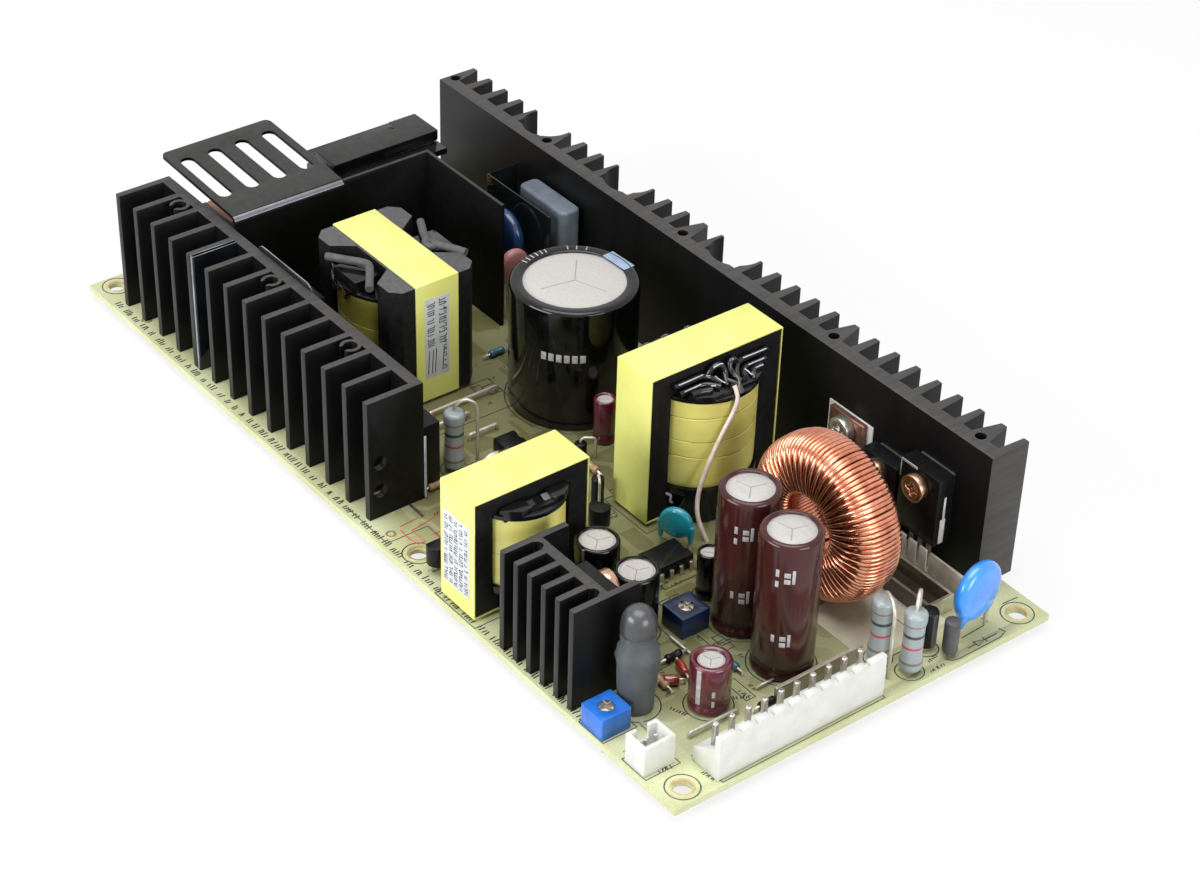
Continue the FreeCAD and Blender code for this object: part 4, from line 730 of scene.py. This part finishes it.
def lay_top_leads():
    lay_wires("main_top_leads", "shiny_black", [
        [(40.2, 4.8, 35.3), (40.2, 8.6, 35.3), (40.2, 12.0, 35.4), (41.0, 14.0, 34.6),
         (43.0, 15.2, 33.9)],
        [(41.1, 5.6, 33.9), (41.1, 8.6, 33.9), (41.2, 11.4, 34.0), (42.4, 13.0, 34.0),
         (43.8, 14.2, 33.8)],
        [(42.5, 7.6, 33.7), (42.5, 10.4, 33.7), (43.6, 12.2, 33.7)],
        [(40.2, 29.2, 35.3), (40.2, 25.4, 35.3), (40.2, 22.0, 35.4), (41.0, 20.2, 34.7),
         (43.2, 19.0, 33.9)],
        [(41.1, 28.2, 33.9), (41.1, 25.2, 33.9), (41.2, 22.6, 34.0), (42.4, 21.0, 34.0),
         (44.2, 20.4, 33.8)],
        [(42.5, 26.2, 33.7), (42.5, 23.8, 33.7), (43.8, 22.6, 33.6), (44.6, 22.4, 33.0)],
        [(40.3, 13.2, 34.6), (40.5, 14.4, 36.6), (40.8, 16.2, 37.0), (41.4, 17.2, 35.2),
         (42.4, 16.4, 34.2), (44.2, 15.8, 33.6)],
        [(40.3, 21.4, 34.6), (40.5, 20.6, 36.4), (40.8, 19.0, 36.8), (41.4, 18.2, 35.2),
         (42.6, 18.8, 34.2), (44.4, 19.0, 33.6)]], 0.72, 10, 3, slot="bobbin_black")
    # Thin pale lines along the tops of the leads: painted highlights.
    lay_wires("main_lead_glints", "painted_glint_and_white_fleck", [
        [(40.75, 5.7, 35.9), (40.75, 8.8, 35.9), (40.75, 11.9, 36.0)],
        [(41.65, 6.6, 34.5), (41.65, 8.8, 34.5), (41.65, 10.8, 34.6)],
        [(40.75, 22.4, 36.0), (40.75, 25.4, 35.9), (40.75, 28.6, 35.9)],
        [(41.65, 23.2, 34.5), (41.65, 25.4, 34.5), (41.65, 27.4, 34.5)],
        [(43.0, 23.6, 34.2), (43.0, 24.8, 34.2), (43.0, 26.0, 34.2)],
        [(41.6, 14.4, 35.2), (42.6, 14.8, 34.6), (43.8, 15.4, 34.3)],
        [(42.4, 21.6, 34.6), (43.4, 21.8, 34.4), (44.4, 22.0, 34.0)],
        [(41.0, 14.4, 36.9), (41.2, 15.6, 37.5), (41.3, 16.6, 37.2)],
        [(41.1, 20.2, 36.7), (41.2, 19.2, 37.2)], [(42.9, 12.4, 34.3), (43.4, 13.2, 34.3)],
        [(41.0, 12.6, 35.6), (41.2, 13.4, 35.4)]], 0.13, 4, 1, slot="white_sleeve")
    lay_wires("main_far_leads", "shiny_black", [
        [(27.6, 6.6, 33.4), (25.2, 8.6, 34.4), (23.4, 11.2, 34.0), (22.8, 13.4, 32.6)],
        [(27.6, 12.0, 33.4), (25.2, 14.0, 35.0), (23.4, 16.4, 34.2), (22.8, 18.6, 32.6)],
        [(27.6, 18.0, 33.4), (25.2, 20.0, 34.8), (23.4, 22.2, 34.0), (22.8, 24.4, 32.6)]], 0.9, 8,
        slot="bobbin_black")


def fit_comb_plates():
    plates = []
    for y0, y1 in ((-41.6, -33.9), (-32.0, -25.0)):
        half = (y1 - y0) / 2
        plate = slab("comb_plate", -1.3, 1.3, -half, half, -0.5, 0.5, 0.3)
        turn_piece(plate, 24, "Y", 45.9, (y0 + y1) / 2, 26.8)
        plates += [plate, slab("comb_foot", 44.4, 45.4, y0 + 1.0, y1 - 1.0, 24.6, 27.0, 0.2)]
    comb = gather("control_comb_plates", plates)
    trim_round(comb, *CONTROL_TRANSFORMER, 10.5)
    fit(comb, "bobbin_black")


def lay_side_leads():
    lay_wires("brown_twist", "brown_plastic", [
        [(43.6, 16.0, 34.8), (44.8, 16.8, 34.6), (45.6, 17.8, 34.0), (46.6, 17.6, 33.0)],
        [(43.8, 18.2, 34.9), (44.8, 18.2, 34.6), (45.8, 17.2, 34.2), (46.9, 17.2, 32.9)]], 0.42,
        slot="fuse_brown")
    lay_wires("fly_lead_smooth", "white_sleeve", [
        [(45.2, 16.6, 34.0), (46.8, 16.6, 32.4), (47.2, 15.2, 29.2), (46.9, 12.8, 25.0),
         (46.7, 10.7, 20.4), (46.4, 9.0, 16.0), (46.4, 7.5, 11.6), (47.3, 6.6, 7.4),
         (49.2, 6.6, 4.2), (50.2, 7.4, 1.6)]], 0.5, 8, 3,
        stands_for=("main_transformer_fly_lead",))
    lay_wires("white_flecks", "painted_glint_and_white_fleck", [
        [(39.7, 6.0, 7.6), (40.0, 5.2, 6.4), (39.7, 6.4, 5.6)],
        [(39.8, 4.6, 8.8), (40.1, 5.6, 8.0)],
        [(40.2, 6.6, 4.6), (40.6, 5.6, 4.0), (40.2, 5.0, 4.6)],
        [(42.4, 12.0, 6.2), (43.4, 12.4, 6.0)], [(44.4, 14.6, 5.6), (45.4, 15.4, 5.4)]],
        0.28, 4, 1, slot="white_sleeve")
    lay_wires("boost_lead_ends", "shiny_black", [
        [(-47.6, -19.4, 28.6), (-45.4, -20.6, 29.4), (-43.4, -20.8, 28.0), (-42.0, -21.0, 25.6)],
        [(-48.4, -18.6, 27.6), (-46.2, -20.2, 27.8), (-44.2, -21.4, 26.8), (-43.6, -21.2, 24.6)],
        [(-38.0, -19.4, 28.8), (-37.6, -20.8, 28.2), (-38.2, -21.6, 26.4), (-39.6, -21.4, 24.8)]],
        0.7, slot="bobbin_black")


# Output choke: one long enamelled wire, wound round and round the ring core

def wind_output_choke():
    x, y, z = 75.8, 15.8, 20.4
    turns = 104
    half = 5.22
    outer = 17.45
    step = 352 / turns
    points = []
    for index in range(turns):
        start = -90 + 4 + 352 * index / turns
        inner = 6.6 if index % 2 else 7.6
        reach = half + (0.85 if index % 2 else -0.05)
        jitter = random.uniform(-0.3, 0.3)
        loop = [(inner, reach - 1.3, 0.0), (inner, -reach + 1.3, 0.05), (inner + 1.4, -reach, 0.12),
                (12.2, -reach, 0.3), (outer - 2.0, -half, 0.48), (outer, -half + 2.2, 0.55),
                (outer, half - 2.2, 0.62), (outer - 2.0, half, 0.7), (12.2, reach, 0.85),
                (inner + 1.4, reach, 0.95)]
        for radius, across, share in loop:
            turn = math.radians(start + step * share + jitter * (radius > 12))
            points.append((x + radius * math.cos(turn), y + across, z + radius * math.sin(turn)))
    first = points[0][0]
    last = points[-1][0]
    points = [(first - 2.0, y + 1.5, 1.6), (first - 1.0, y + 1.5, 6.0)] + points
    points += [(last + 1.5, y + 3.0, 6.0), (last + 2.5, y + 3.0, 1.6)]
    lay_wires("output_choke_wire", "copper", [points], 0.5, 3,
              stands_for=("output_choke_winding",))
    softened("output_choke_core", "fuse_brown", 1.5, 4)


# Electrolytic capacitors

def sleeve_profile(radius, low, high, share, crimped):
    points = [(radius - 0.9, low + 0.1), (radius - 0.25, low + 0.12), (radius, low + 0.45)]
    if crimped:
        points += [(radius, low + 1.3), (radius - 0.30, low + 1.7), (radius - 0.42, low + 2.1),
                   (radius - 0.30, low + 2.5), (radius, low + 2.9)]
    roll = min(1.1, 0.16 * radius)
    points += [(radius, high - 2.2 * roll), (radius - 0.05, high - 1.6 * roll)]
    points += arc(radius - roll, high - roll, roll, 15, 95, 6)
    lip = share * radius
    points += [(lip + 0.45, high - 0.10), (lip + 0.12, high - 0.22), (lip, high - 0.45)]
    return points


def can_profile(radius, low, high, share):
    lip = share * radius
    return [(0, low + 0.2), (radius - 0.7, low + 0.2), (radius - 0.7, high - 1.2),
            (lip + 0.2, high - 0.62), (0.93 * lip, high - 0.62), (0.88 * lip, high - 0.5),
            (0.4 * lip, high - 0.46), (0, high - 0.45)]


def make_capacitor(name, x, y, diameter, height, share, crimped, vent, steps=56):
    low = 1.7
    high = low + height
    radius = diameter / 2
    sleeve = spun(name + "_sleeve", sleeve_profile(radius, low, high, share, crimped), x, y, steps)
    can = spun(name + "_can", can_profile(radius, low, high, share), x, y, steps)
    smooth(sleeve, 60)
    smooth(can, 30)
    reach = 0.72 * share * radius
    arms = []
    for angle in vent:
        arms.append([(x, y, high - 0.43), (*on_circle((x, y), 0.5 * reach, angle), high - 0.44),
                     (*on_circle((x, y), reach, angle), high - 0.47)])
    return sleeve, can, arms


def finish_capacitors():
    sleeve, can, vents = make_capacitor("bulk", *BULK_CAPACITOR, 28.4, 30.2, 0.79, False,
                                        (20, 140, 260), 96)
    fit(sleeve, "sleeve_black", "bulk_capacitor_sleeve")
    fit(can, "can_aluminium", "bulk_capacitor_can")
    cans = []
    tall = (12.6, 33.0, 0.76)
    middling = (9.2, 15.5, 0.80)
    for finish, node, places, sizes in (
            ("sleeve_brown", "output_capacitor_sleeves", TALL_CAPACITORS, (tall, tall)),
            ("sleeve_black", "control_capacitor_sleeves", BLACK_CAPACITORS,
             (middling, middling, (4.9, 11.0, 0.78))),
            ("sleeve_red", "red_capacitor_sleeves", RED_CAPACITORS,
             ((8.3, 11.5, 0.64), (4.9, 11.0, 0.72)))):
        sleeves = []
        for centre, size in zip(places, sizes):
            name = node + "_" + str(len(sleeves))
            vent = (75, 195, 315) if size[0] > 6 else (45, 225)
            sleeve, can, grooves = make_capacitor(name, *centre, *size, True, vent)
            sleeves.append(sleeve)
            cans.append(can)
            vents += grooves
        fit(gather(node + "_worked", sleeves), finish, node)
    fit(gather("small_cans_worked", cans), "can_aluminium", "small_capacitor_cans")
    # Vent grooves drawn as darker lines: painted shade in the grooves.
    lay_wires("can_vents", "vent_painted_shade", vents, 0.08, 2, 1, slot="can_aluminium")
    bars = [(-63, 28.2, 0.7, 1.7), (-63, 25.6, 0.7, 1.4), (-45, 28.0, 1.2, 1.1),
            (-45, 26.5, 1.2, 1.1), (-34, 27.6, 0.6, 3.2), (-63, 12.4, 0.7, 1.7),
            (-45, 12.6, 1.2, 1.1), (-45, 11.1, 1.2, 1.1), (-34, 12.2, 0.6, 3.0)]
    stripe = [(-72, 8.6, 1.0, 8.2), (-30, 5.0, 0.6, 1.4), (-30, 7.4, 0.6, 1.4)]
    squares = [(angle, 20.4, 1.2, 1.9) for angle in (-64, -57, -50, -43, -36, -29)]
    for name, marks, slot, centre, radius in (
            ("near_print", bars, "sleeve_brown", TALL_CAPACITORS[0], 6.3),
            ("far_print", bars, "sleeve_brown", TALL_CAPACITORS[1], 6.3),
            ("maroon_stripe", stripe, "sleeve_red", RED_CAPACITORS[0], 4.16),
            ("bulk_marks", squares, "sleeve_black", BULK_CAPACITOR, 14.2)):
        print_marks(name, marks, "sleeve_print", slot,
                    lambda angle: (angle, *on_circle(centre, radius, angle)))
    patch = slab("bulk_patch", -3.7, 3.7, -1.45, 1.45, -0.03, 0.03, 0.02)
    turn_piece(patch, 2, "Z", -8.4, 28.75, 31.86)
    fit(patch, "patch_blue", slot="sleeve_black")
    rim = [[(*on_circle(BULK_CAPACITOR, radius, angle), 31.82) for radius in (12.0, 13.3)]
           for angle in (131, 141, 150, 173, 178, 184, 190, 196, 202)]
    print_lines("bulk_rim_marks", "sleeve_print", rim, 0.18, "sleeve_black")


# Connectors, trimmers and the devices on the heat sinks

def finish_connectors():
    softened("output_header_housing", "ivory_plastic", 0.25)
    softened("mains_header_housing", "ivory_plastic", 0.25)
    softened("signal_header_housing", "ivory_plastic", 0.18)
    softened("header_pins", "tinned", 0.18, 1)
    softened("voltage_trimmer_case", "blue_case", 0.16, merge_flats=False)
    softened("limit_trimmer_case", "dark_blue_case", 0.16, merge_flats=False)
    for side in ("voltage", "limit"):
        softened(side + "_trimmer_rotor", "dull_metal", 0.08, 1, body=side + "_rotor",
                 slot="tinned")
    softened("power_device_packages", "epoxy_black", 0.25)
    tabs = softened("power_device_tabs_and_legs", "tinned", 0.06, 1)
    give_faces(tabs, "tab_pink", lambda normal, place: 49 < place.x < 60 and place.y > 39.5)
    screws = softened("device_screws", "screw_brass", 0.25)
    give_faces(screws, "tinned", lambda normal, place: 50 < place.x < 59)
    bars = softened("bus_bars", "dull_metal", 0.08, 1, slot="tinned")
    comb = box_of("long_heat_sink")[0].y - 6.3
    strip_end = 95.5
    give_faces(bars, "lead_cream", lambda normal, place: place.y > comb or
               place.y < 21 and place.x > 95 and normal.z > 0.5)
    give_faces(bars, "brown_plastic",
               lambda normal, place: 25.5 < place.y < comb - 2 and place.x < strip_end)
    give_faces(bars, "tinned", lambda normal, place: 25.5 < place.y < comb - 2
               and (place.x >= strip_end or normal.z > SQUARE_ON and place.z > 5))
    filter_frame = softened("line_filter_bobbin", "bobbin_black", 0.2)
    frame_top = 29.2
    # Up faces of the frame's step take a bluish grey: painted sheen.
    give_faces(filter_frame, "painted_sheen", lambda normal, place: normal.z > SQUARE_ON
               and 20 < place.z < frame_top and place.x > -79)
    # The frame's top takes a lighter grey: painted light.
    give_faces(filter_frame, "painted_lit_top",
               lambda normal, place: normal.z > SQUARE_ON and place.z > frame_top)
    wind_line_filter()
    softened("line_capacitor", "box_blue_grey", 0.5)
    fit(slab("line_capacitor_foot", -103.06, -94.34, 8.44, 34.56, 1.72, 2.7, 0.25), "epoxy_black")
    bars = [(across, level, width, 0.8) for level in (6.4, 8.6, 10.8)
            for across, width in ((14.0, 4.2), (19.4, 3.4), (24.0, 2.6), (28.4, 3.6))]
    print_marks("line_capacitor_marks", bars + [(21.4, 14.6, 8.0, 1.6)], "sleeve_print",
                "box_blue_grey", lambda across: (180, -103.02, across))
    softened("filter_film_capacitor", "film_grey_blue", 0.3)
    softened("control_chips", "epoxy_black", 0.15)
    softened("control_chip_legs", "tinned", 0.08, 1)


def wind_line_filter():
    x0, x1, y0, y1 = -90.4, -76.4, 2.6, 28.2
    bend = 2.6
    corners = [(x1, y0, 0, 1), (x1, y1, -1, 0), (x0, y1, 0, -1), (x0, y0, 1, 0)]
    coils = []
    for low in (4.75, 17.05):
        points = [(x0 + 3.0, y0, low)]
        for turn in range(9):
            for index, (x, y, dx, dy) in enumerate(corners):
                before = corners[index - 1]
                z = low + 1.06 * (turn + (index + 0.5) / 4)
                points += [(x - before[2] * bend, y - before[3] * bend, z), (x, y, z),
                           (x + dx * bend, y + dy * bend, z + 0.02)]
        coils.append(points)
    coils += [[(x0 + 3.0, y0 - 0.3, 4.8), (x0 + 1.0, y0 - 0.8, 3.6), (x0 + 0.8, y0 - 0.8, 1.6)],
              [(x1 - 3.0, y0 - 0.3, 4.8), (x1 - 1.4, y0 - 0.8, 3.6), (x1 - 1.2, y0 - 0.8, 1.6)]]
    lay_wires("line_filter_wires", "copper", coils, 0.53, 3,
              stands_for=("line_filter_windings",))


# Small parts that stand on the board

def finish_small_parts():
    resistors = []
    r = 2.35
    low = 2.6
    for x, y in RESISTORS:
        profile = [(0, low - 0.1), (0.4, low), (0.5 * r, low + 0.05)]
        profile += arc(r - 0.7, low + 0.75, 0.7, -80, 0, 4)
        profile += [(r, low + 2.2), (0.95 * r, low + 2.9), (0.90 * r, low + 3.6),
                    (0.89 * r, low + 7), (0.90 * r, low + 10.4), (0.95 * r, low + 11.1),
                    (r, low + 11.8)]
        profile += arc(r - 0.9, low + 13.1, 0.9, 0, 75, 4)
        profile += [(0.5, low + 14.1), (0, low + 14.25)]
        body = spun("resistor", profile, x, y, 40)
        smooth(body, 60)
        resistors.append(body)
    fit(gather("resistor_bodies", resistors), "resistor_grey", "power_resistors")
    softened("leads_and_jumpers", "lead_cream", 0.05, 1, slot="tinned")
    diodes = softened("standing_diodes", "epoxy_black", 0.35)
    give_faces(diodes, "diode_grey", lambda normal, place: place.x > 103.5)
    softened("small_glass_diodes", "glass_red", 0.3)
    softened("line_fuse", "fuse_brown", 0.5)

    profile = [(0, 1.62), (3.1, 1.62)] + arc(3.0, 2.1, 0.5, -60, 0, 3)
    profile += [(3.6, 4.6), (3.8, 7.4), (4.0, 10.0), (4.2, 12.4), (4.3, 14.0), (4.2, 15.2),
                (3.8, 16.4), (3.45, 17.6), (3.35, 18.8), (3.38, 19.6), (3.56, 20.1), (3.6, 20.8),
                (3.5, 22.0), (3.3, 23.2), (2.9, 24.2), (2.2, 25.0), (1.2, 25.5), (0, 25.65)]
    x, y = WRAPPED_CHOKE
    wrap = spun("wrapped_choke_body", profile, x, y, 72)
    for spot in wrap.data.vertices:
        around = math.atan2(spot.co.y - y * MM, spot.co.x - x * MM)
        level = spot.co.z / MM
        if 2.5 < level < 19.7:
            fold = 0.17 * math.sin(7 * around + 0.9 * level) * math.sin(1.3 * level + 2 * around)
            fold += 0.15 * math.sin(2.6 * level + 1.5 * around) * (level > 12)
            out = Vector((math.cos(around), math.sin(around), 0))
            spot.co += out * (fold - 0.10) * MM
    smooth(wrap, 60)
    fit(wrap, "shrink_grey", "wrapped_choke")
    give_faces(wrap, "choke_head", lambda normal, place: place.z > 19.9)

    for name, finish, node, *size in (
            ("snubber_disc", "blue_coat", "snubber_capacitor", 103.6, 31.3, 98, 6.6, 4.0, 5.8, 8.0),
            ("inrush_disc_body", "pink_coat", "inrush_disc", -42.3, 25.4, 90, 3.8, 3.0, 11.1, 5.0),
            ("teal_disc", "teal_coat", "feedback_capacitor", 47.5, 1.1, 30, 3.7, 2.6, 3.9, 6.6)):
        fit(coated_shape(name, *size), finish, node)
    first = coated_shape("surge_disc_a", -50.5, 28.8, 0, 6.5, 4.0, 11.1, 7.5)
    second = coated_shape("surge_disc_b", -94.5, -23.6, 0, 7.0, 3.5, 5.6, 7.5)
    fit(gather("surge_disc_bodies", [first, second]), "navy_coat", "surge_discs")


def coated_shape(name, x, y, angle, radius, thick, low, spread):
    half = thick / 2
    profile = [(0, -half), (radius * 0.45, -0.94 * half)]
    profile += arc(radius - half * 0.8, 0, half * 0.8, -80, 80, 8)
    profile += [(radius * 0.45, 0.94 * half), (0, half)]
    disc = spun(name, profile, 0, 0, 44)
    turn_piece(disc, 90, "X", 0, 0, 0)
    roots = []
    for side in (-0.5, 0.5):
        drop = radius - math.sqrt(max(radius ** 2 - (spread / 2) ** 2, 0.1))
        top = -radius + drop + 1.6
        profile = [(0, top), (0.36 * thick, top), (0.30 * thick, -radius + drop),
                   (0.55, -radius - 0.3), (0.45, -radius - 0.9), (0, -radius - 0.9)]
        roots.append(spun(name + "_root", profile, side * spread, 0, 16))
    disc = gather(name, [disc] + roots)
    weld = disc.modifiers.new("one_coat", "REMESH")
    weld.mode = "VOXEL"
    weld.voxel_size = 0.22 * MM
    flow = disc.modifiers.new("coat_flow", "SMOOTH")
    flow.factor = 0.6
    flow.iterations = 6
    bake_steps(disc)
    turn_piece(disc, angle, "Z", x, y, low + radius)
    smooth(disc, 70)
    return disc


# Board: print, plated pads and soldered joints

def on_board(points):
    return [(x, y, PRINT_LEVEL) for x, y in points]


def ring_points(x, y, radius):
    steps = 28
    return on_board([(x + radius * math.cos(turn), y + radius * math.sin(turn)) for turn in
                     (2 * math.pi * step / steps for step in range(steps + 1))])


def box_points(x0, x1, y0, y1):
    return on_board([(x0, y0), (x1, y0), (x1, y1), (x0, y1), (x0, y0)])


def tick_row(x, y, angle, count, tall=0.8):
    marks = []
    turn = math.radians(angle)
    along = Vector((math.cos(turn), math.sin(turn), 0))
    up = Vector((-math.sin(turn), math.cos(turn), 0))
    place = Vector((x, y, PRINT_LEVEL))
    for index in range(count):
        lean = along * random.uniform(-0.3, 0.3)
        top = place + up * tall * random.uniform(0.6, 1.0) + lean
        marks.append([tuple(place), tuple(top)])
        if index % 2:
            marks.append([tuple(top), tuple(top + along * random.uniform(0.2, 0.5))])
        place = place + along * random.uniform(0.45, 0.75)
    return marks


def finish_board():
    softened("circuit_board", "board", 0.12, 1)
    holes = ((-104.5, -43), (-104.5, 43), (104.5, -43), (104.5, 43), (19.0, -43.0))
    rings = [ring_points(x, y, 3.4) for x, y in holes]
    places = (*TALL_CAPACITORS, *BLACK_CAPACITORS, RED_CAPACITORS[0], *RESISTORS,
              (101.7, 20.6), BULK_CAPACITOR, WRAPPED_CHOKE)
    rings += [ring_points(*place, radius) for place, radius in zip(
        places, (7.0, 7.0, 5.2, 5.2, 3.0, 4.9, 2.9, 2.9, 3.0, 2.6, 15.0, 4.9))]
    rings += [box_points(*box) for box in (
        (92.0, 99.2, -47.4, -39.2), (79.0, 86.6, -47.6, -39.6), (31.4, 45.2, -47.6, -18.4),
        (26.6, 41.0, -1.2, 35.2), (-106.2, -93.0, 7.4, 35.6), (60.0, 77.0, -18.0, -8.4),
        (47.0, 57.6, -9.6, -0.4), (-24.0, -12.4, -16.4, 5.0), (68.0, 78.6, -32.6, -26.2),
        (56.0, 66.0, 3.0, 10.0))]
    rings += [on_board(line) for line in (
        [(98.8, -36.2), (107.9, -36.2), (107.9, 4.2), (98.8, 4.2)],
        [(106.4, 21.4), (107.6, 22.4), (107.9, 24.0), (107.9, 35.0), (107.2, 37.0), (105.8, 36.6)],
        [(103.7, 26.6), (103.4, 34.6), (102.8, 36.4), (101.4, 36.0)],
        [(106.6, 27.4), (106.6, 29.6)], [(106.6, 32.0), (106.6, 35.2)],
        [(105.8, 29.6), (107.4, 29.6), (106.6, 31.8), (105.8, 29.6)],
        [(105.8, 32.0), (107.4, 32.0)], [(100.6, 42.6), (100.9, 46.6)],
        [(-2.0, -46.4), (12.6, -46.4), (12.6, -36.4), (25.6, -36.4)],
        [(60.0, -13.2), (77.0, -13.2)], [(86.0, 22.0), (99.6, 22.0)], [(99.6, 7.8), (99.6, 22.0)],
        [(46.0, -12.0), (60.0, -16.0)])]
    for row in ((107.8, 16.6, 90, 7), (105.4, 18.4, 100, 5), (99.0, -43.9, 80, 5, 1.2),
                (103.6, -37.9, 10, 6, 0.9), (91.4, -19.6, 60, 6, 1.0), (86.4, -31.4, 20, 6, 1.0),
                (76.4, -26.2, -20, 5, 1.0), (24.0, -41.2, 40, 5, 1.0)):
        rings += tick_row(*row)
    for row in range(160):
        x = random.uniform(-98, 97)
        y = random.uniform(-33, 38)
        clear = min(math.hypot(x - hx, y - hy) for hx, hy in holes) > 5
        if clear and not (x > 77 and 6 < y < 32):
            rings += tick_row(x, y, random.choice((0, 90)), random.randint(2, 5), 0.9)
    for box in range(70):
        x = random.uniform(-95, 88)
        y = random.uniform(-30, 34)
        wide = random.uniform(2.0, 7.0)
        tall = random.uniform(1.6, 3.2)
        if not (x > 72 and 5 < y < 32):
            rings.append(box_points(x, x + wide, y, y + tall))
    lines = round_wire("board_print", rings, 0.13, 1, 0, 2)
    ticks = []
    place = -98.0
    while place < 78.0:
        for mark in range(random.choice((2, 3, 4, 5))):
            ticks += tick_row(place, -47.2, 0, 1, 1.7)
            place += random.uniform(0.55, 0.95)
        place += random.uniform(0.6, 1.8)
    marks = round_wire("edge_ticks", ticks, 0.17, 1, 0, 2)
    dash = round_wire("thick_dash", [on_board([(4.5, -35.2), (9.4, -35.3)])], 0.34, 1, 0, 2)
    fit(gather("board_print", [lines, marks, dash]), "print_black", slot="board")
    print_lines("red_print", "print_red", [on_board(line) for line in (
        [(10.8, -32.4), (12.0, -39.9), (16.6, -39.8), (16.5, -41.3), (14.3, -41.9), (10.4, -41.7)],
        [(9.5, -41.1), (9.1, -36.3)],
        [(24.2, -40.0), (20.0, -40.0), (20.0, -37.0), (15.6, -37.0), (15.6, -32.0)],
        [(88.0, -42.0), (90.6, -44.0), (90.6, -46.0)])], 0.17)
    fit(slab("beige_field", 79.6, 98.2, 8.4, 30.0, 1.59, 1.63, 0.01), "print_beige", slot="board")
    eyelets = []
    for x, y, r in [(*hole, 2.0) for hole in holes] + [(10.4, -44.0, 0.7), (-88.0, -44.6, 0.8)]:
        profile = [(r - 0.05, 1.0), (r - 0.05, 1.64), (r + 0.42, 1.64), (r + 0.48, 1.58)]
        eyelets.append(spun("eyelet", profile, x, y, 28))
    fit(gather("plated_eyelets", eyelets), "pad_gold", slot="solder")


def lying_part(x, y, angle, length, radius):
    half = length / 2
    profile = [(0, -half), (0.7 * radius, -half), (radius, -half + 0.3), (radius, -half + 0.9),
               (0.86 * radius, -half + 1.2), (0.86 * radius, half - 1.2), (radius, half - 0.9),
               (radius, half - 0.3), (0.7 * radius, half), (0, half)]
    part = spun("lying_part", profile, 0, 0, 14)
    turn_piece(part, 90, "Y", 0, 0, 0)
    level = 1.75 + radius
    turn_piece(part, angle, "Z", x, y, level)
    smooth(part, 60)
    wires = []
    for side in (-1, 1):
        near = on_circle((x, y), side * (half - 0.2), angle)
        far = on_circle((x, y), side * (half + 1.5), angle)
        wires.append([(*near, level), (*far, level), (*far, 1.5)])
    return part, wires


def scatter_small_parts():
    wires = []
    groups = {}
    for finish, places in (
            ("resistor_tan", ((3.0, -27.6, 90), (15.4, -8.0, 0), (22.4, -25.0, 90),
                              (49.6, -15.2, 90), (58.6, 5.4, 0), (56.8, 9.0, 0), (82.4, -17.4, 0),
                              (79.8, -28.4, 0), (60.0, -31.0, 0), (-21.4, -20.6, 0),
                              (-12.0, -24.4, 90), (17.0, 3.0, 0))),
            ("epoxy_black", ((75.4, -21.8, 90), (96.6, -16.0, 90), (12.6, -3.6, 90))),
            ("resistor_blue", ((19.6, -14.6, 0), (56.6, -13.0, 90), (83.6, -14.0, 0),
                               (52.6, -33.4, 90), (-30.2, 12.0, 90)))):
        groups[finish] = []
        for place in places:
            part, leads = lying_part(*place, 3.8, 0.85)
            groups[finish].append(part)
            wires += leads
    for finish, parts in groups.items():
        fit(gather(finish + "_parts", parts), finish, slot="fuse_brown")
    for x, y, dx, dy in ((8.6, -24.0, 0, 7.0), (20.4, -20.0, 0, 6.0), (46.4, -16.6, 0, 9.0),
                         (70.4, -18.4, 6.0, 0), (91.8, -14.6, 0, 6.4), (86.4, -38.6, 5.0, 0),
                         (60.4, 12.0, 4.0, 0), (-28.6, -18.0, 0, 9.0), (54.0, -29.0, 6.0, 0)):
        wires.append([(x, y, 1.5), (x, y, 2.4), (x + dx, y + dy, 2.4), (x + dx, y + dy, 1.5)])
    lay_wires("small_part_leads", "lead_cream", wires, 0.28, 3, 1, 2, slot="tinned")


def joint_centres(node):
    """The middle of each joint; its points lie closer together than two joints do."""
    points = [Vector((spot.co.x, spot.co.y)) for spot in nodes[node].data.vertices]
    seeds = []
    for point in points:
        if not any((point - other).length < 2.3 * MM for other in seeds):
            seeds.append(point)
    centres = []
    for seed in seeds:
        near = [point for point in points if (point - seed).length < 2.25 * MM]
        middle = sum(near, Vector((0, 0))) / len(near)
        if not any((middle - other).length < 1.2 * MM for other in centres):
            centres.append(middle)
    return centres


def finish_underside():
    for node in ("input_solder_joints", "output_solder_joints"):
        centres = joint_centres(node)
        joint = spun("joint", [(1.1, 0), (0.85, -0.45), (0.6, -0.95), (0.46, -1.5), (0.3, -1.9),
                               (0, -2.0)], 0, 0, 10)
        smooth(joint, 70)
        joints = []
        for centre in centres:
            copy = bpy.data.objects.new("joint", joint.data.copy())
            scene.collection.objects.link(copy)
            copy.data.transform(Matrix.Translation((centre.x, centre.y, 0)))
            joints.append(copy)
        bpy.data.objects.remove(joint)
        fit(gather(node + "_worked", joints), "solder", node)


place_camera()
light_studio()
lay_floor()
finish_heat_sinks()
finish_transformers()
stick_labels()
lay_top_leads()
fit_comb_plates()
lay_side_leads()
wind_output_choke()
finish_capacitors()
finish_connectors()
finish_small_parts()
finish_board()
scatter_small_parts()
finish_underside()
